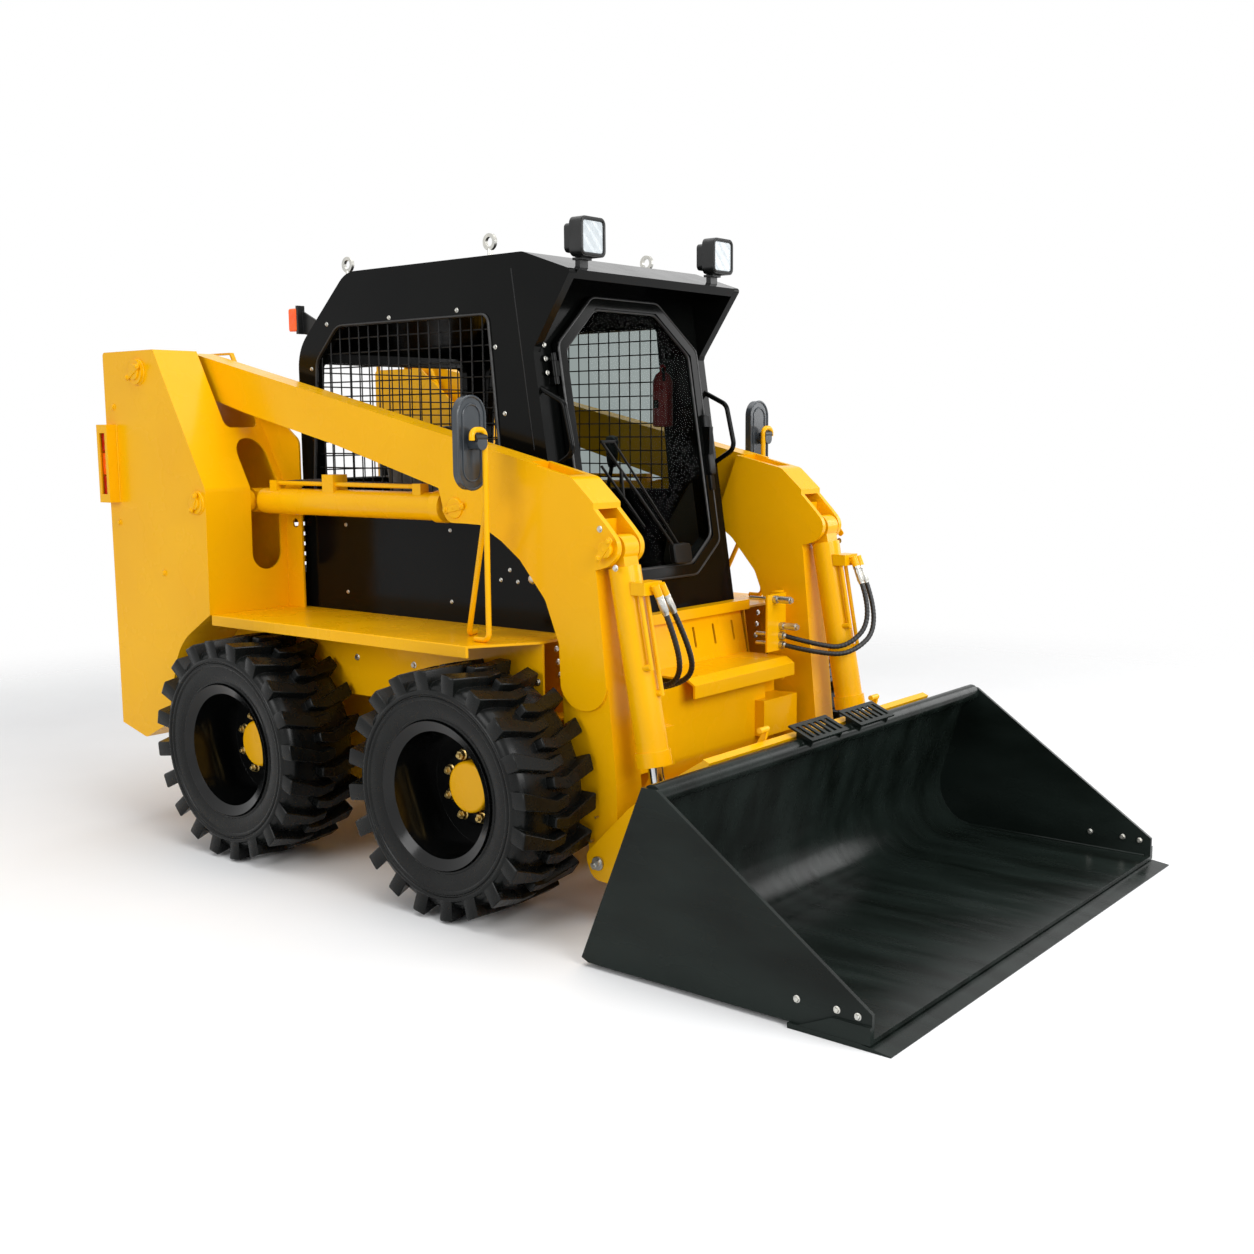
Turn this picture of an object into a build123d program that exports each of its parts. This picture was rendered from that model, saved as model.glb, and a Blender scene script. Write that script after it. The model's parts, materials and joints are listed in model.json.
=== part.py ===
"""Skid steer loader: the construction of every piece, in millimetres.

x points to the machine's left, y to its rear and z up.  All sizes are given from the working
origin, on the ground midway between the axles; when a piece is written it is moved along y by
FRAME_SHIFT, so that the written origin lies on the ground under the middle of the machine.
Pieces that exist on both sides are drawn on the left (+x) and mirrored for the right.
"""
from build123d import *
import math
import os

# ------------------------------------------------------------------ driving sizes of the machine
WHEELBASE = 1080.0
TYRE_RADIUS = 400.0
TYRE_WIDTH = 328.0
OVER_TYRES = 1970.0
SHEET = 8.0                     # body sheet metal
RUNNING_CLEARANCE = 0.05        # radial, pin in bore
MOVING_GAP = 6.0                # side gap between pieces that move past each other
SEAT_GAP = 0.3                  # parting between pieces of different bodies that seat on each other

WHEEL_X = OVER_TYRES / 2 - TYRE_WIDTH / 2
AXLE_Y = WHEELBASE / 2
TYRE_INNER_X = WHEEL_X - TYRE_WIDTH / 2

# across the machine, from the tyres inwards
BOOM_X = (TYRE_INNER_X - 102, TYRE_INNER_X - 7)
LEG_X = (BOOM_X[0] - 35, BOOM_X[1])
INNER_PLATE_X = BOOM_X[0] - 55
CASE_OUTER_X = INNER_PLATE_X - 20
CAB_HALF = INNER_PLATE_X - 30
FENDER_PANEL_X = TYRE_INNER_X - 17
FENDER_EDGE_X = WHEEL_X + 37
UPRIGHT_X = FENDER_EDGE_X + SHEET

# joints of the loader linkage, as (y, z)
ARM_PIVOT = (1118.0, 1747.0)
LIFT_BASE = (780.0, 1268.0)
LIFT_EYE = (-331.0, 1271.0)
TILT_TOP = (-981.0, 1165.0)
TILT_EYE = (-1133.0, 360.0)
BUCKET_HINGE = (-950.0, 190.0)

# ------------------------------------------------------------------ ranges of the joints
LIFT_RANGE = (0.0, 66.0)
TILT_RANGE = (-25.0, 102.0)
CAB_DOOR_RANGE = (0.0, 90.0)
REAR_DOOR_RANGE = (0.0, 95.0)


# ------------------------------------------------------------------ drawing helpers
def outline(corners):
    """A closed flat face from corners (u, v) or (u, v, radius); a radius rounds its corner."""
    edges, leave = [], None
    count = len(corners)
    stops = []
    for i, corner in enumerate(corners):
        here = Vector(corner[0], corner[1])
        radius = corner[2] if len(corner) > 2 else 0
        if not radius:
            stops.append((here, here, here))
            continue
        back = (Vector(*corners[i - 1][:2]) - here).normalized()
        ahead = (Vector(*corners[(i + 1) % count][:2]) - here).normalized()
        half = math.acos(max(-1.0, min(1.0, back.dot(ahead)))) / 2
        run = radius / math.tan(half)
        crown = (back + ahead).normalized() * (radius / math.sin(half) - radius)
        stops.append((here + back * run, here + crown, here + ahead * run))
    for i, (arrive, crown, leave) in enumerate(stops):
        if (leave - arrive).length > 1e-6:
            edges.append(ThreePointArc(arrive, crown, leave))
        start = stops[(i + 1) % count][0]
        if (start - leave).length > 1e-6:
            edges.append(Line(leave, start))
    return make_face(edges)


def across(corners, x_from, x_to):
    """A prism across the machine from a side outline in (y, z)."""
    plane = Plane(origin=(x_from, 0, 0), x_dir=(0, 1, 0), z_dir=(1, 0, 0))
    return extrude(plane * outline(corners), x_to - x_from)


def along(corners, y_from, y_to):
    """A prism along the machine from a front outline in (x, z)."""
    plane = Plane(origin=(0, y_to, 0), x_dir=(1, 0, 0), z_dir=(0, -1, 0))
    return extrude(plane * outline(corners), y_to - y_from)


def upward(corners, z_from, z_to):
    """A prism upwards from a plan outline in (x, y)."""
    return extrude(Plane.XY.offset(z_from) * outline(corners), z_to - z_from)


def block(x, y, z):
    """A box from its three (low, high) pairs."""
    return Pos((x[0] + x[1]) / 2, (y[0] + y[1]) / 2, (z[0] + z[1]) / 2) * Box(
        x[1] - x[0], y[1] - y[0], z[1] - z[0])


def disc_x(at, radius, x_from, x_to):
    """A cylinder across the machine at (y, z)."""
    return Pos((x_from + x_to) / 2, at[0], at[1]) * Rot(0, 90, 0) * Cylinder(radius, x_to - x_from)


def rod(start, end, radius):
    """A round bar between two points."""
    start, end = Vector(*start), Vector(*end)
    return extrude(Plane(origin=start, z_dir=end - start) * Circle(radius), (end - start).length)


def bent_bar(points, radii, radius):
    """A round bar along straight runs joined by tangent arcs."""
    path = FilletPolyline(*points, radius=radii)
    start = path @ 0
    return sweep(Plane(origin=start, z_dir=path % 0) * Circle(radius), path=path)


def turned(profile):
    """A body turned about the x axis from a profile in (x, r)."""
    plane = Plane(origin=(0, 0, 0), x_dir=(1, 0, 0), z_dir=(0, -1, 0))
    return revolve(plane * outline(profile), Axis.X, 360)


def mirrored(piece):
    return mirror(piece, about=Plane.YZ)


def both(piece):
    """The left piece and its mirror image in one node."""
    return together(piece, mirrored(piece))


def together(*pieces):
    """Separate solids that share one node."""
    return Compound([solid for piece in pieces for solid in piece.solids()])


nodes = {}


def sides(name, piece):
    """Keep a left piece and its mirror image as two nodes."""
    nodes[name + "_left"] = piece
    nodes[name + "_right"] = mirrored(piece)


def hinge(at, line, wide, strap, leaf):
    """A hinge's moving and fixed halves on a line, the knuckles wide along it.

    strap and leaf are the (u, v) boxes, low and high, that join the knuckles to what they carry:
    u points along +x and v at right angles to it and to the line.
    """
    place = Plane(origin=at, x_dir=(1, 0, 0), z_dir=line)
    moving = Cylinder(HINGE_KNUCKLE, wide) + block((strap[0][0], strap[1][0]), (strap[0][1], strap[1][1]),
                                                   (-wide / 2, wide / 2))
    moving -= Cylinder(HINGE_BAR + RUNNING_CLEARANCE, wide)
    reach = wide / 2 + HINGE_SIDE_GAP + wide / 2
    fixed = Cylinder(HINGE_BAR, 2 * reach)
    for end in (-1, 1):
        middle = end * (reach - wide / 4)
        fixed += Pos(0, 0, middle) * Cylinder(HINGE_KNUCKLE, wide / 2)
        fixed += block((leaf[0][0], leaf[1][0]), (leaf[0][1], leaf[1][1]),
                       (middle - wide / 4, middle + wide / 4))
    return place * moving, place * fixed


HINGE_KNUCKLE = 10.0
HINGE_BAR = 5.0
HINGE_SIDE_GAP = 1.0

# ------------------------------------------------------------------ wheels
RIM_RADIUS = 210.0
RIM_FLANGE = 236.0
RIM_HALF = 140.0
RIM_WALL = 8.0
WHEEL_DISC_X = -52.0            # disc's outer face, from the middle of the tyre
WHEEL_DISC = 14.0
HUB_CAP_RADIUS = 84.0
HUB_CAP_REACH = 62.0
SHAFT_RADIUS = 32.0
AXLE_TUBE_RADIUS = 62.0
CHAIN_CASE_X = (CASE_OUTER_X - 150, CASE_OUTER_X)
HUB_FLANGE = 18.0
AXLE_Z = TYRE_RADIUS

half_tyre = TYRE_WIDTH / 2
TREAD_DEPTH = 36.0
TYRE_FACETS = 20
LUGS_PER_SIDE = 20
LUG_SIDE = 14.0

# carcass section: x from the middle of the tyre, r
tyre_section = [
    (14 - RIM_HALF, RIM_RADIUS), (14 - half_tyre, 296), (26 - half_tyre, TYRE_RADIUS - TREAD_DEPTH),
    (half_tyre - 26, TYRE_RADIUS - TREAD_DEPTH), (half_tyre - 14, 296), (RIM_HALF - 14, RIM_RADIUS)]
# one lug from the shoulder to just past the middle: u out from the middle, s ahead round the tyre
tread_lug = [(half_tyre, -48), (half_tyre, 18), (34, 48), (-28, 34), (-28, -11)]
# the foot stays inside the carcass, whose flats lie lower than its edges
LUG_ROOT = 34.0
lug_foot = TYRE_RADIUS - TREAD_DEPTH - LUG_ROOT


def inset(corners, distance):
    """The corners of a polygon whose sides have all moved in by a distance."""
    moved = []
    for before, at, after in zip(corners[-1:] + corners[:-1], corners, corners[1:] + corners[:1]):
        first = (Vector(*at) - Vector(*before)).normalized()
        second = (Vector(*after) - Vector(*at)).normalized()
        inward = Vector(-first.Y - second.Y, first.X + second.X) / (1 + first.dot(second))
        moved.append(Vector(*at) + inward * distance)
    return moved


def quads_between(rows):
    """Flat faces that join each polygon of a list to the next, corner by corner."""
    facets = []
    for row, other in zip(rows, rows[1:]):
        for k in range(len(row)):
            ahead = (k + 1) % len(row)
            corners = [row[k], row[ahead], other[ahead], other[k]]
            facets.append(Face(Wire.make_polygon(corners, close=True)))
    return facets


def faceted_ring(section, count):
    """A ring of flat facets about x; its facets' middles lie at the section's radii."""
    grow = 1 / math.cos(math.pi / count)
    turns = [2 * math.pi * (k + 0.5) / count for k in range(count)]
    rows = [[Vector(x, r * grow * math.cos(t), r * grow * math.sin(t)) for t in turns] for x, r in section]
    return Solid(Shell(quads_between(rows + rows[:1])))


lug_face = [(at.X, at.Y) for at in inset(tread_lug, LUG_SIDE)]
lug_reach = max(abs(s) for u, s in lug_face)
lug_top = math.sqrt(TYRE_RADIUS ** 2 - lug_reach ** 2)


def tyre_lug(side, degrees):
    """One tapered lug at an angle; side is 1 for the outer half of the tread and -1 for the inner."""
    out = Vector(0, math.cos(math.radians(degrees)), math.sin(math.radians(degrees)))
    ahead = Vector(0, -out.Z, out.Y)
    rows = []
    for corners, height in ((tread_lug, lug_foot), (lug_face, lug_top)):
        rows.append([Vector(side * u, 0, 0) + ahead * s + out * height for u, s in corners])
    caps = [Face(Wire.make_polygon(row, close=True)) for row in rows]
    return Solid(Shell(quads_between(rows) + caps))


lug_pitch = 360 / LUGS_PER_SIDE
# turned so that the tip of one lug stands on the ground
lug_turn = math.degrees(math.atan(lug_reach / lug_top))
rim_profile = [
    (-RIM_HALF + 14, RIM_RADIUS), (-RIM_HALF, RIM_FLANGE), (-RIM_HALF - 10, RIM_FLANGE),
    (-RIM_HALF + 6, RIM_RADIUS - RIM_WALL), (WHEEL_DISC_X - WHEEL_DISC, RIM_RADIUS - RIM_WALL),
    (WHEEL_DISC_X - WHEEL_DISC, SHAFT_RADIUS + 30), (WHEEL_DISC_X, SHAFT_RADIUS + 30),
    (WHEEL_DISC_X, RIM_RADIUS - RIM_WALL), (RIM_HALF - 6, RIM_RADIUS - RIM_WALL),
    (RIM_HALF + 10, RIM_FLANGE), (RIM_HALF, RIM_FLANGE), (RIM_HALF - 14, RIM_RADIUS)]
disc_inner = WHEEL_DISC_X - WHEEL_DISC
tube_end = TYRE_INNER_X - WHEEL_X + 34
hub_profile = [
    (disc_inner - HUB_FLANGE, 0), (disc_inner - HUB_FLANGE, HUB_CAP_RADIUS + 34),
    (disc_inner, HUB_CAP_RADIUS + 34), (disc_inner, SHAFT_RADIUS + 30),
    (WHEEL_DISC_X, SHAFT_RADIUS + 30), (WHEEL_DISC_X, HUB_CAP_RADIUS),
    (WHEEL_DISC_X + HUB_CAP_REACH, HUB_CAP_RADIUS, 10), (WHEEL_DISC_X + HUB_CAP_REACH, 0)]
lugs = [tyre_lug(side, (k + shift) * lug_pitch - lug_turn)
        for k in range(LUGS_PER_SIDE) for side, shift in ((1, 0.0), (-1, 0.5))]
tyre = faceted_ring(tyre_section, TYRE_FACETS).fuse(*lugs)
rim = turned(rim_profile)
shaft_inner = CHAIN_CASE_X[1] + 40 - WHEEL_X
hub = turned(hub_profile) + Rot(0, 90, 0) * Pos(0, 0, (shaft_inner + disc_inner - HUB_FLANGE) / 2) * Cylinder(
    SHAFT_RADIUS, disc_inner - HUB_FLANGE - shaft_inner)
axle_tube = disc_x((0, 0), AXLE_TUBE_RADIUS, CHAIN_CASE_X[1], WHEEL_X + disc_inner - HUB_FLANGE - MOVING_GAP)
axle_tube += disc_x((0, 0), AXLE_TUBE_RADIUS + 26, CHAIN_CASE_X[1], CHAIN_CASE_X[1] + 16)
axle_tube -= disc_x((0, 0), SHAFT_RADIUS + RUNNING_CLEARANCE, CHAIN_CASE_X[1] + 38, WHEEL_X)
for end, sign in (("front", -1), ("rear", 1)):
    at = Pos(WHEEL_X, sign * AXLE_Y, AXLE_Z)
    for name, piece in (("tyre", tyre), ("rim", rim), ("hub", hub)):
        sides(f"{name}_{end}", at * piece)
nodes["axle_tubes"] = both(together(Pos(0, -AXLE_Y, AXLE_Z) * axle_tube, Pos(0, AXLE_Y, AXLE_Z) * axle_tube))

# ------------------------------------------------------------------ chassis
BELLY_Z = 200.0
CASE_TOP = 640.0
CHASSIS_FRONT = -900.0
CHASSIS_REAR = 1330.0
DECK_Z = 860.0
TUB_HALF = CHAIN_CASE_X[0]
FENDER_FRONT = -700.0
STEP_Z = 700.0
STEP_FRONT = -960.0
STEP_X = (-180.0, 430.0)
PANEL_TOP = (-712.0, 856.0)
PANEL_FOOT = (-745.0, STEP_Z)
ENGINE_Z = (BELLY_Z + 60, 960.0)

chain_case = across([
    (-840, CASE_TOP), (-840, 380, 60), (-740, BELLY_Z, 80), (1180, BELLY_Z, 80),
    (CHASSIS_REAR, 380, 60), (CHASSIS_REAR, CASE_TOP)], *CHAIN_CASE_X)
belly = block((-TUB_HALF, TUB_HALF), (-780, 1240), (BELLY_Z, BELLY_Z + 10))
front_plate = across([
    (CHASSIS_FRONT, STEP_Z - SHEET), (CHASSIS_FRONT, 420, 40), (-780, BELLY_Z), (-780, BELLY_Z + 12),
    (CHASSIS_FRONT + SHEET + 2, 424, 40), (CHASSIS_FRONT + SHEET, STEP_Z - SHEET)], -TUB_HALF, TUB_HALF)
front_side = across([
    (CHASSIS_FRONT + SHEET, STEP_Z - SHEET), (CHASSIS_FRONT + SHEET, 424, 40), (-780, BELLY_Z + 10),
    (-700, BELLY_Z + 10), (-700, STEP_Z - SHEET)], TUB_HALF - SHEET, TUB_HALF)
rear_plate = block((-TUB_HALF, TUB_HALF), (CHASSIS_REAR - SHEET, CHASSIS_REAR), (BELLY_Z + 10, 440))
rear_plate += across([(1180, BELLY_Z), (CHASSIS_REAR, 380), (CHASSIS_REAR, 420), (1176, BELLY_Z + 10)],
                     -TUB_HALF, TUB_HALF)
CASE_WALL_X = (CHAIN_CASE_X[1] - SHEET, CHAIN_CASE_X[1])
wall = across([(PANEL_FOOT[0] + SHEET, CASE_TOP), (PANEL_TOP[0] + SHEET, DECK_Z), (CHASSIS_REAR, DECK_Z),
               (CHASSIS_REAR, CASE_TOP)], *CASE_WALL_X)
rail = block((CAB_HALF - 40, CASE_WALL_X[0]), (-690, 669), (DECK_Z - SHEET, DECK_Z))
boom_rest = block((TUB_HALF - 66, CASE_OUTER_X), (CHASSIS_FRONT - 40, CHASSIS_FRONT), (427, 558))
boom_rest -= block((TUB_HALF - 58, CASE_OUTER_X + 1), (CHASSIS_FRONT - 32, CHASSIS_FRONT - 8), (435, 550))
boom_rest += block((TUB_HALF, CASE_OUTER_X - 8), (CHASSIS_FRONT - 8, -838), (427, 558))
feet = block((220, 260), (740, 800), (BELLY_Z + 10, ENGINE_Z[0]))
feet += block((220, 260), (1080, 1140), (BELLY_Z + 10, ENGINE_Z[0]))
sill = block((40 - CAB_HALF, CAB_HALF - 40), (-690, -620), (DECK_Z - SHEET, DECK_Z))
tub_side = chain_case + front_side + wall + rail + feet + boom_rest
nodes["chassis_tub"] = tub_side + mirrored(tub_side) + belly + front_plate + rear_plate + sill

# slotted panel below the cab door, with the bar that the cab stands on
lean = math.hypot(PANEL_TOP[0] - PANEL_FOOT[0], PANEL_TOP[1] - PANEL_FOOT[1])
slotted_panel = across([
    PANEL_FOOT, PANEL_TOP, (PANEL_TOP[0] + SHEET, PANEL_TOP[1]), (PANEL_FOOT[0] + SHEET, PANEL_FOOT[1])],
    30 - CAB_HALF, CAB_HALF - 30)
for slot_x in (15, 135, 255, 374):
    slotted_panel -= along([(slot_x - 6, 748, 5), (slot_x + 6, 748, 5), (slot_x + 6, 822, 5),
                            (slot_x - 6, 822, 5)], -760, -700)
cross_bar = block((4 - CAB_HALF, CAB_HALF - 4), (-738, -690), (PANEL_TOP[1], PANEL_TOP[1] + 36))
step = across([
    (PANEL_FOOT[0] + SHEET, STEP_Z - SHEET), (PANEL_FOOT[0] + SHEET, STEP_Z), (STEP_FRONT + 34, STEP_Z),
    (STEP_FRONT, STEP_Z - 22), (STEP_FRONT, STEP_Z - 66), (STEP_FRONT + SHEET, STEP_Z - 66),
    (STEP_FRONT + SHEET, STEP_Z - 26), (STEP_FRONT + 38, STEP_Z - SHEET)], *STEP_X)
step += block(STEP_X, (CHASSIS_FRONT, CHASSIS_FRONT + SHEET), (STEP_Z - 60, STEP_Z - SHEET))
nodes["chassis_tub"] += slotted_panel + cross_bar + step

# fenders: a bent sheet over the tyres that is also the walking platform
fender = along([
    (CHAIN_CASE_X[1], DECK_Z), (CHAIN_CASE_X[1], DECK_Z - SHEET), (FENDER_PANEL_X - SHEET, DECK_Z - SHEET),
    (FENDER_PANEL_X - SHEET, 600), (CHAIN_CASE_X[1], 600), (CHAIN_CASE_X[1], 600 - SHEET),
    (FENDER_PANEL_X, 600 - SHEET), (FENDER_PANEL_X, DECK_Z - SHEET), (FENDER_EDGE_X - SHEET, DECK_Z - SHEET),
    (FENDER_EDGE_X - SHEET, DECK_Z - 38), (FENDER_EDGE_X, DECK_Z - 38), (FENDER_EDGE_X, DECK_Z, 4)],
    FENDER_FRONT, CHASSIS_REAR)
fender -= upward([(FENDER_PANEL_X + 2, FENDER_FRONT - 5), (FENDER_EDGE_X + 9, FENDER_FRONT - 5),
                  (FENDER_EDGE_X + 9, FENDER_FRONT + 130)], 700, 900)
fender -= block((FENDER_PANEL_X, FENDER_EDGE_X + 9), (735, CHASSIS_REAR + 9), (560, 900))
nodes["fenders"] = both(fender)

# ------------------------------------------------------------------ uprights that carry the boom
UPRIGHT_REAR = 1345.0
UPRIGHT_TOP = 1826.0
plate_in = UPRIGHT_X - SHEET
inner_out = INNER_PLATE_X + SHEET
upright_outline = [
    (UPRIGHT_REAR, UPRIGHT_TOP, 14), (1013, UPRIGHT_TOP), (728, 1316, 40), (735, DECK_Z),
    (940, 735, 240), (1036, 420, 60), (1185, 348, 30), (UPRIGHT_REAR, 389)]
upright_face = outline(upright_outline)
side_plane = Plane(origin=(0, 0, 0), x_dir=(0, 1, 0), z_dir=(1, 0, 0))
outer_plate = across(upright_outline, plate_in, UPRIGHT_X)
rim_face = upright_face - offset(upright_face, -SHEET, kind=Kind.INTERSECTION)
bent_sheet = extrude(side_plane.offset(FENDER_PANEL_X) * rim_face, plate_in - FENDER_PANEL_X)
bent_sheet += (extrude(side_plane.offset(inner_out) * rim_face, FENDER_PANEL_X - inner_out)
               & block((inner_out, FENDER_PANEL_X), (700, 1400), (DECK_Z, 1900)))
LIFT_X = (BOOM_X[0] + BOOM_X[1]) / 2
NOTCH = (BOOM_X[0] - 30, BOOM_X[1] + 26)
bent_sheet -= along(
    [(NOTCH[0], 1540, 26), (NOTCH[1], 1540, 26), (NOTCH[1], 1900), (NOTCH[0], 1900)], 700, 1400)
SLOT_HALF = 66.0
bent_sheet -= along([(LIFT_X - SLOT_HALF, 1010, SLOT_HALF - 1), (LIFT_X + SLOT_HALF, 1010, SLOT_HALF - 1),
                     (LIFT_X + SLOT_HALF, 1500, SLOT_HALF - 1), (LIFT_X - SLOT_HALF, 1500, SLOT_HALF - 1)],
                    700, 900)
inner_plate = across([
    (UPRIGHT_REAR, UPRIGHT_TOP - 30, 20), (1050, UPRIGHT_TOP - 30, 40), (640, 1490, 40), (640, DECK_Z),
    (UPRIGHT_REAR, DECK_Z)], INNER_PLATE_X, inner_out)
inner_plate -= disc_x((676, 1180), 17, INNER_PLATE_X - 1, inner_out + 1)

PIVOT_PIN = 30.0
LIFT_PIN = 24.0
TILT_PIN = 20.0
HINGE_PIN = 24.0
BOSS_WALL = 16.0
LIFT_EYE_HALF = 28.0
upright = outer_plate + bent_sheet + inner_plate
for at, pin, proud, free in ((ARM_PIVOT, PIVOT_PIN, 14, (BOOM_X[0], BOOM_X[1])),
                             (LIFT_BASE, LIFT_PIN, 10, (LIFT_X - LIFT_EYE_HALF, LIFT_X + LIFT_EYE_HALF))):
    upright += disc_x(at, pin + BOSS_WALL, free[1] + MOVING_GAP, UPRIGHT_X + proud)
    upright += disc_x(at, pin + BOSS_WALL, INNER_PLATE_X, free[0] - MOVING_GAP)
    upright -= disc_x(at, pin, INNER_PLATE_X - 1, UPRIGHT_X + proud + 1)
guard = block((UPRIGHT_X - 1, UPRIGHT_X + 44), (1276, UPRIGHT_REAR), (1258, 1554))
guard -= block((UPRIGHT_X, UPRIGHT_X + 38), (1282, UPRIGHT_REAR - 6), (1264, 1548))
guard -= block((UPRIGHT_X + 30, UPRIGHT_X + 50), (1292, UPRIGHT_REAR - 16), (1290, 1522))
upright += guard
nodes["uprights"] = both(upright)
nodes["upright_pins"] = both(together(disc_x(ARM_PIVOT, PIVOT_PIN, INNER_PLATE_X, UPRIGHT_X + 14),
                                      disc_x(LIFT_BASE, LIFT_PIN, INNER_PLATE_X, UPRIGHT_X + 10)))

# ------------------------------------------------------------------ engine end
REAR_DOOR_HALF = INNER_PLATE_X - 70
REAR_DOOR_Z = (452.0, 1228.0)
REAR_DOOR_REACH = 46.0
rear_frame = along([(-INNER_PLATE_X, 440), (INNER_PLATE_X, 440),
                    (INNER_PLATE_X, 1290), (-INNER_PLATE_X, 1290)],
                   CHASSIS_REAR, UPRIGHT_REAR)
rear_frame -= along([(-REAR_DOOR_HALF + 14, 470), (REAR_DOOR_HALF - 14, 470),
                     (REAR_DOOR_HALF - 14, 1212), (-REAR_DOOR_HALF + 14, 1212)],
                    CHASSIS_REAR - 1, UPRIGHT_REAR + 1)
TIE_X = INNER_PLATE_X - 16
TIE_AT = (UPRIGHT_REAR + 40, 500.0)
TIE_HOLE = 22.0
TIE_THICK = 16.0
TIE_REACH = 72.0
tie_down = across([(UPRIGHT_REAR, 440), (UPRIGHT_REAR + TIE_REACH, 465, 32),
                   (UPRIGHT_REAR + TIE_REACH, 535, 32),
                   (UPRIGHT_REAR, 570)], TIE_X - TIE_THICK / 2, TIE_X + TIE_THICK / 2)
tie_down -= disc_x(TIE_AT, TIE_HOLE, TIE_X - 20, TIE_X + 20)
door_face = UPRIGHT_REAR + REAR_DOOR_REACH
REAR_DOOR_HINGE = (-REAR_DOOR_HALF - 12, UPRIGHT_REAR + 24, 840.0)
REAR_DOOR_LINE = (0.0, 0.0, 1.0)
rear_fixed = tie_down + mirrored(tie_down)
rear_straps = []
for z in (620, 1090):
    strap, leaf = hinge((REAR_DOOR_HINGE[0], REAR_DOOR_HINGE[1], z), REAR_DOOR_LINE, 60,
                        ((0, 4), (40, 22)), ((-9, -24), (4, 0)))
    rear_straps.append(strap)
    rear_fixed += leaf
nodes["rear_frame"] = rear_frame + rear_fixed
rear_door = along([(-REAR_DOOR_HALF, REAR_DOOR_Z[0], 30), (REAR_DOOR_HALF, REAR_DOOR_Z[0], 30),
                   (REAR_DOOR_HALF, REAR_DOOR_Z[1], 30), (-REAR_DOOR_HALF, REAR_DOOR_Z[1], 30)],
                  UPRIGHT_REAR + MOVING_GAP, door_face)
pan_half, pan_foot, pan_top = REAR_DOOR_HALF - 6, REAR_DOOR_Z[0] + 6, REAR_DOOR_Z[1] - 6
rear_door -= along([(-pan_half, pan_foot, 24), (pan_half, pan_foot, 24),
                    (pan_half, pan_top, 24), (-pan_half, pan_top, 24)],
                   UPRIGHT_REAR, door_face - 6)
for row in range(9):
    z = 760 + row * 44
    rear_door -= along([(-300, z, 7), (300, z, 7), (300, z + 16, 7), (-300, z + 16, 7)],
                       UPRIGHT_REAR, door_face + 1)
rear_door += rear_straps[0] + rear_straps[1]
rear_door += block((340, 372), (door_face - 8, door_face + 18), (700, 820))
nodes["rear_door"] = rear_door
hood = across([(676, 1308), (CHASSIS_REAR, 1262), (CHASSIS_REAR, 1270), (676, 1316)],
              -INNER_PLATE_X, INNER_PLATE_X)
for row in range(8):
    y = 880 + row * 50
    hood -= upward([(-320, y, 8), (320, y, 8), (320, y + 18, 8), (-320, y + 18, 8)], 1200, 1400)
hood += Pos(380, 1150, 1330) * Cylinder(32, 130) - Pos(380, 1150, 1366) * Cylinder(28, 80)
nodes["engine_hood"] = hood
nodes["engine"] = block((-260, 260), (690, 1190), ENGINE_Z)

# ------------------------------------------------------------------ boom
rear_arm = across([
    (1062, 1673, 40), (768, 1593), (260, 1476), (-255, 1335), (-288, 1222, 44), (-374, 1222, 44),
    (-444, 1220), (-560, 1160), (-700, 1415), (1080, 1822, 60), (1180, 1826, 70), (1186, 1668, 70)], *BOOM_X)
knee = across([
    (-540, 1170), (-618, 1115, 60), (-723, 995, 60), (-778, 860), (-797, 373), (-884, 240), (-890, 138, 50),
    (-1006, 138, 50), (-1000, 430), (-935, 1081), (-925, 1120), (-925, 1302), (-839, 1378, 40), (-640, 1424)],
    *LEG_X)
LOBE = 20.0
lobe_outline = [(-900, 1090), (-981, 1112, 52), (-1040, 1165, 50), (-985, 1225, 52), (-900, 1310)]
arm = rear_arm + knee
arm += across(lobe_outline, LEG_X[1] - LOBE, LEG_X[1]) + across(lobe_outline, LEG_X[0], LEG_X[0] + LOBE)
tongue = across([(-980, 900), (-966, 658, 92), (-786, 658, 92), (-770, 900)], LEG_X[1] - SHEET, LEG_X[1])
arm -= block((LEG_X[1] - SHEET, LEG_X[1] + 1), (-1100, -700), (100, 780)) - tongue
arm += disc_x(BUCKET_HINGE, HINGE_PIN + 26, *LEG_X)
arm += disc_x(ARM_PIVOT, PIVOT_PIN + 30, *BOOM_X)
arm -= across([(-660, 1450), (-852, 1366), (-945, 1260), (-880, 1236), (-770, 1330), (-640, 1390)],
              LEG_X[0] + LOBE, LEG_X[1] - LOBE)
arm -= disc_x(ARM_PIVOT, PIVOT_PIN + RUNNING_CLEARANCE, LEG_X[0] - 9, LEG_X[1] + 9)
# slot for the eye of the lift cylinder's rod
lift_slot = across([(-160, 1150), (-160, 1312), (-250, 1334), (-400, 1334), (-400, 1150)],
                   LIFT_X - LIFT_EYE_HALF - 8, LIFT_X + LIFT_EYE_HALF + 8)
arm -= lift_slot
arm -= disc_x(TILT_TOP, TILT_PIN, LEG_X[0] - 9, LEG_X[1] + 9)
arm -= disc_x(BUCKET_HINGE, HINGE_PIN + RUNNING_CLEARANCE, LEG_X[0] - 9, LEG_X[1] + 9)
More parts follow.
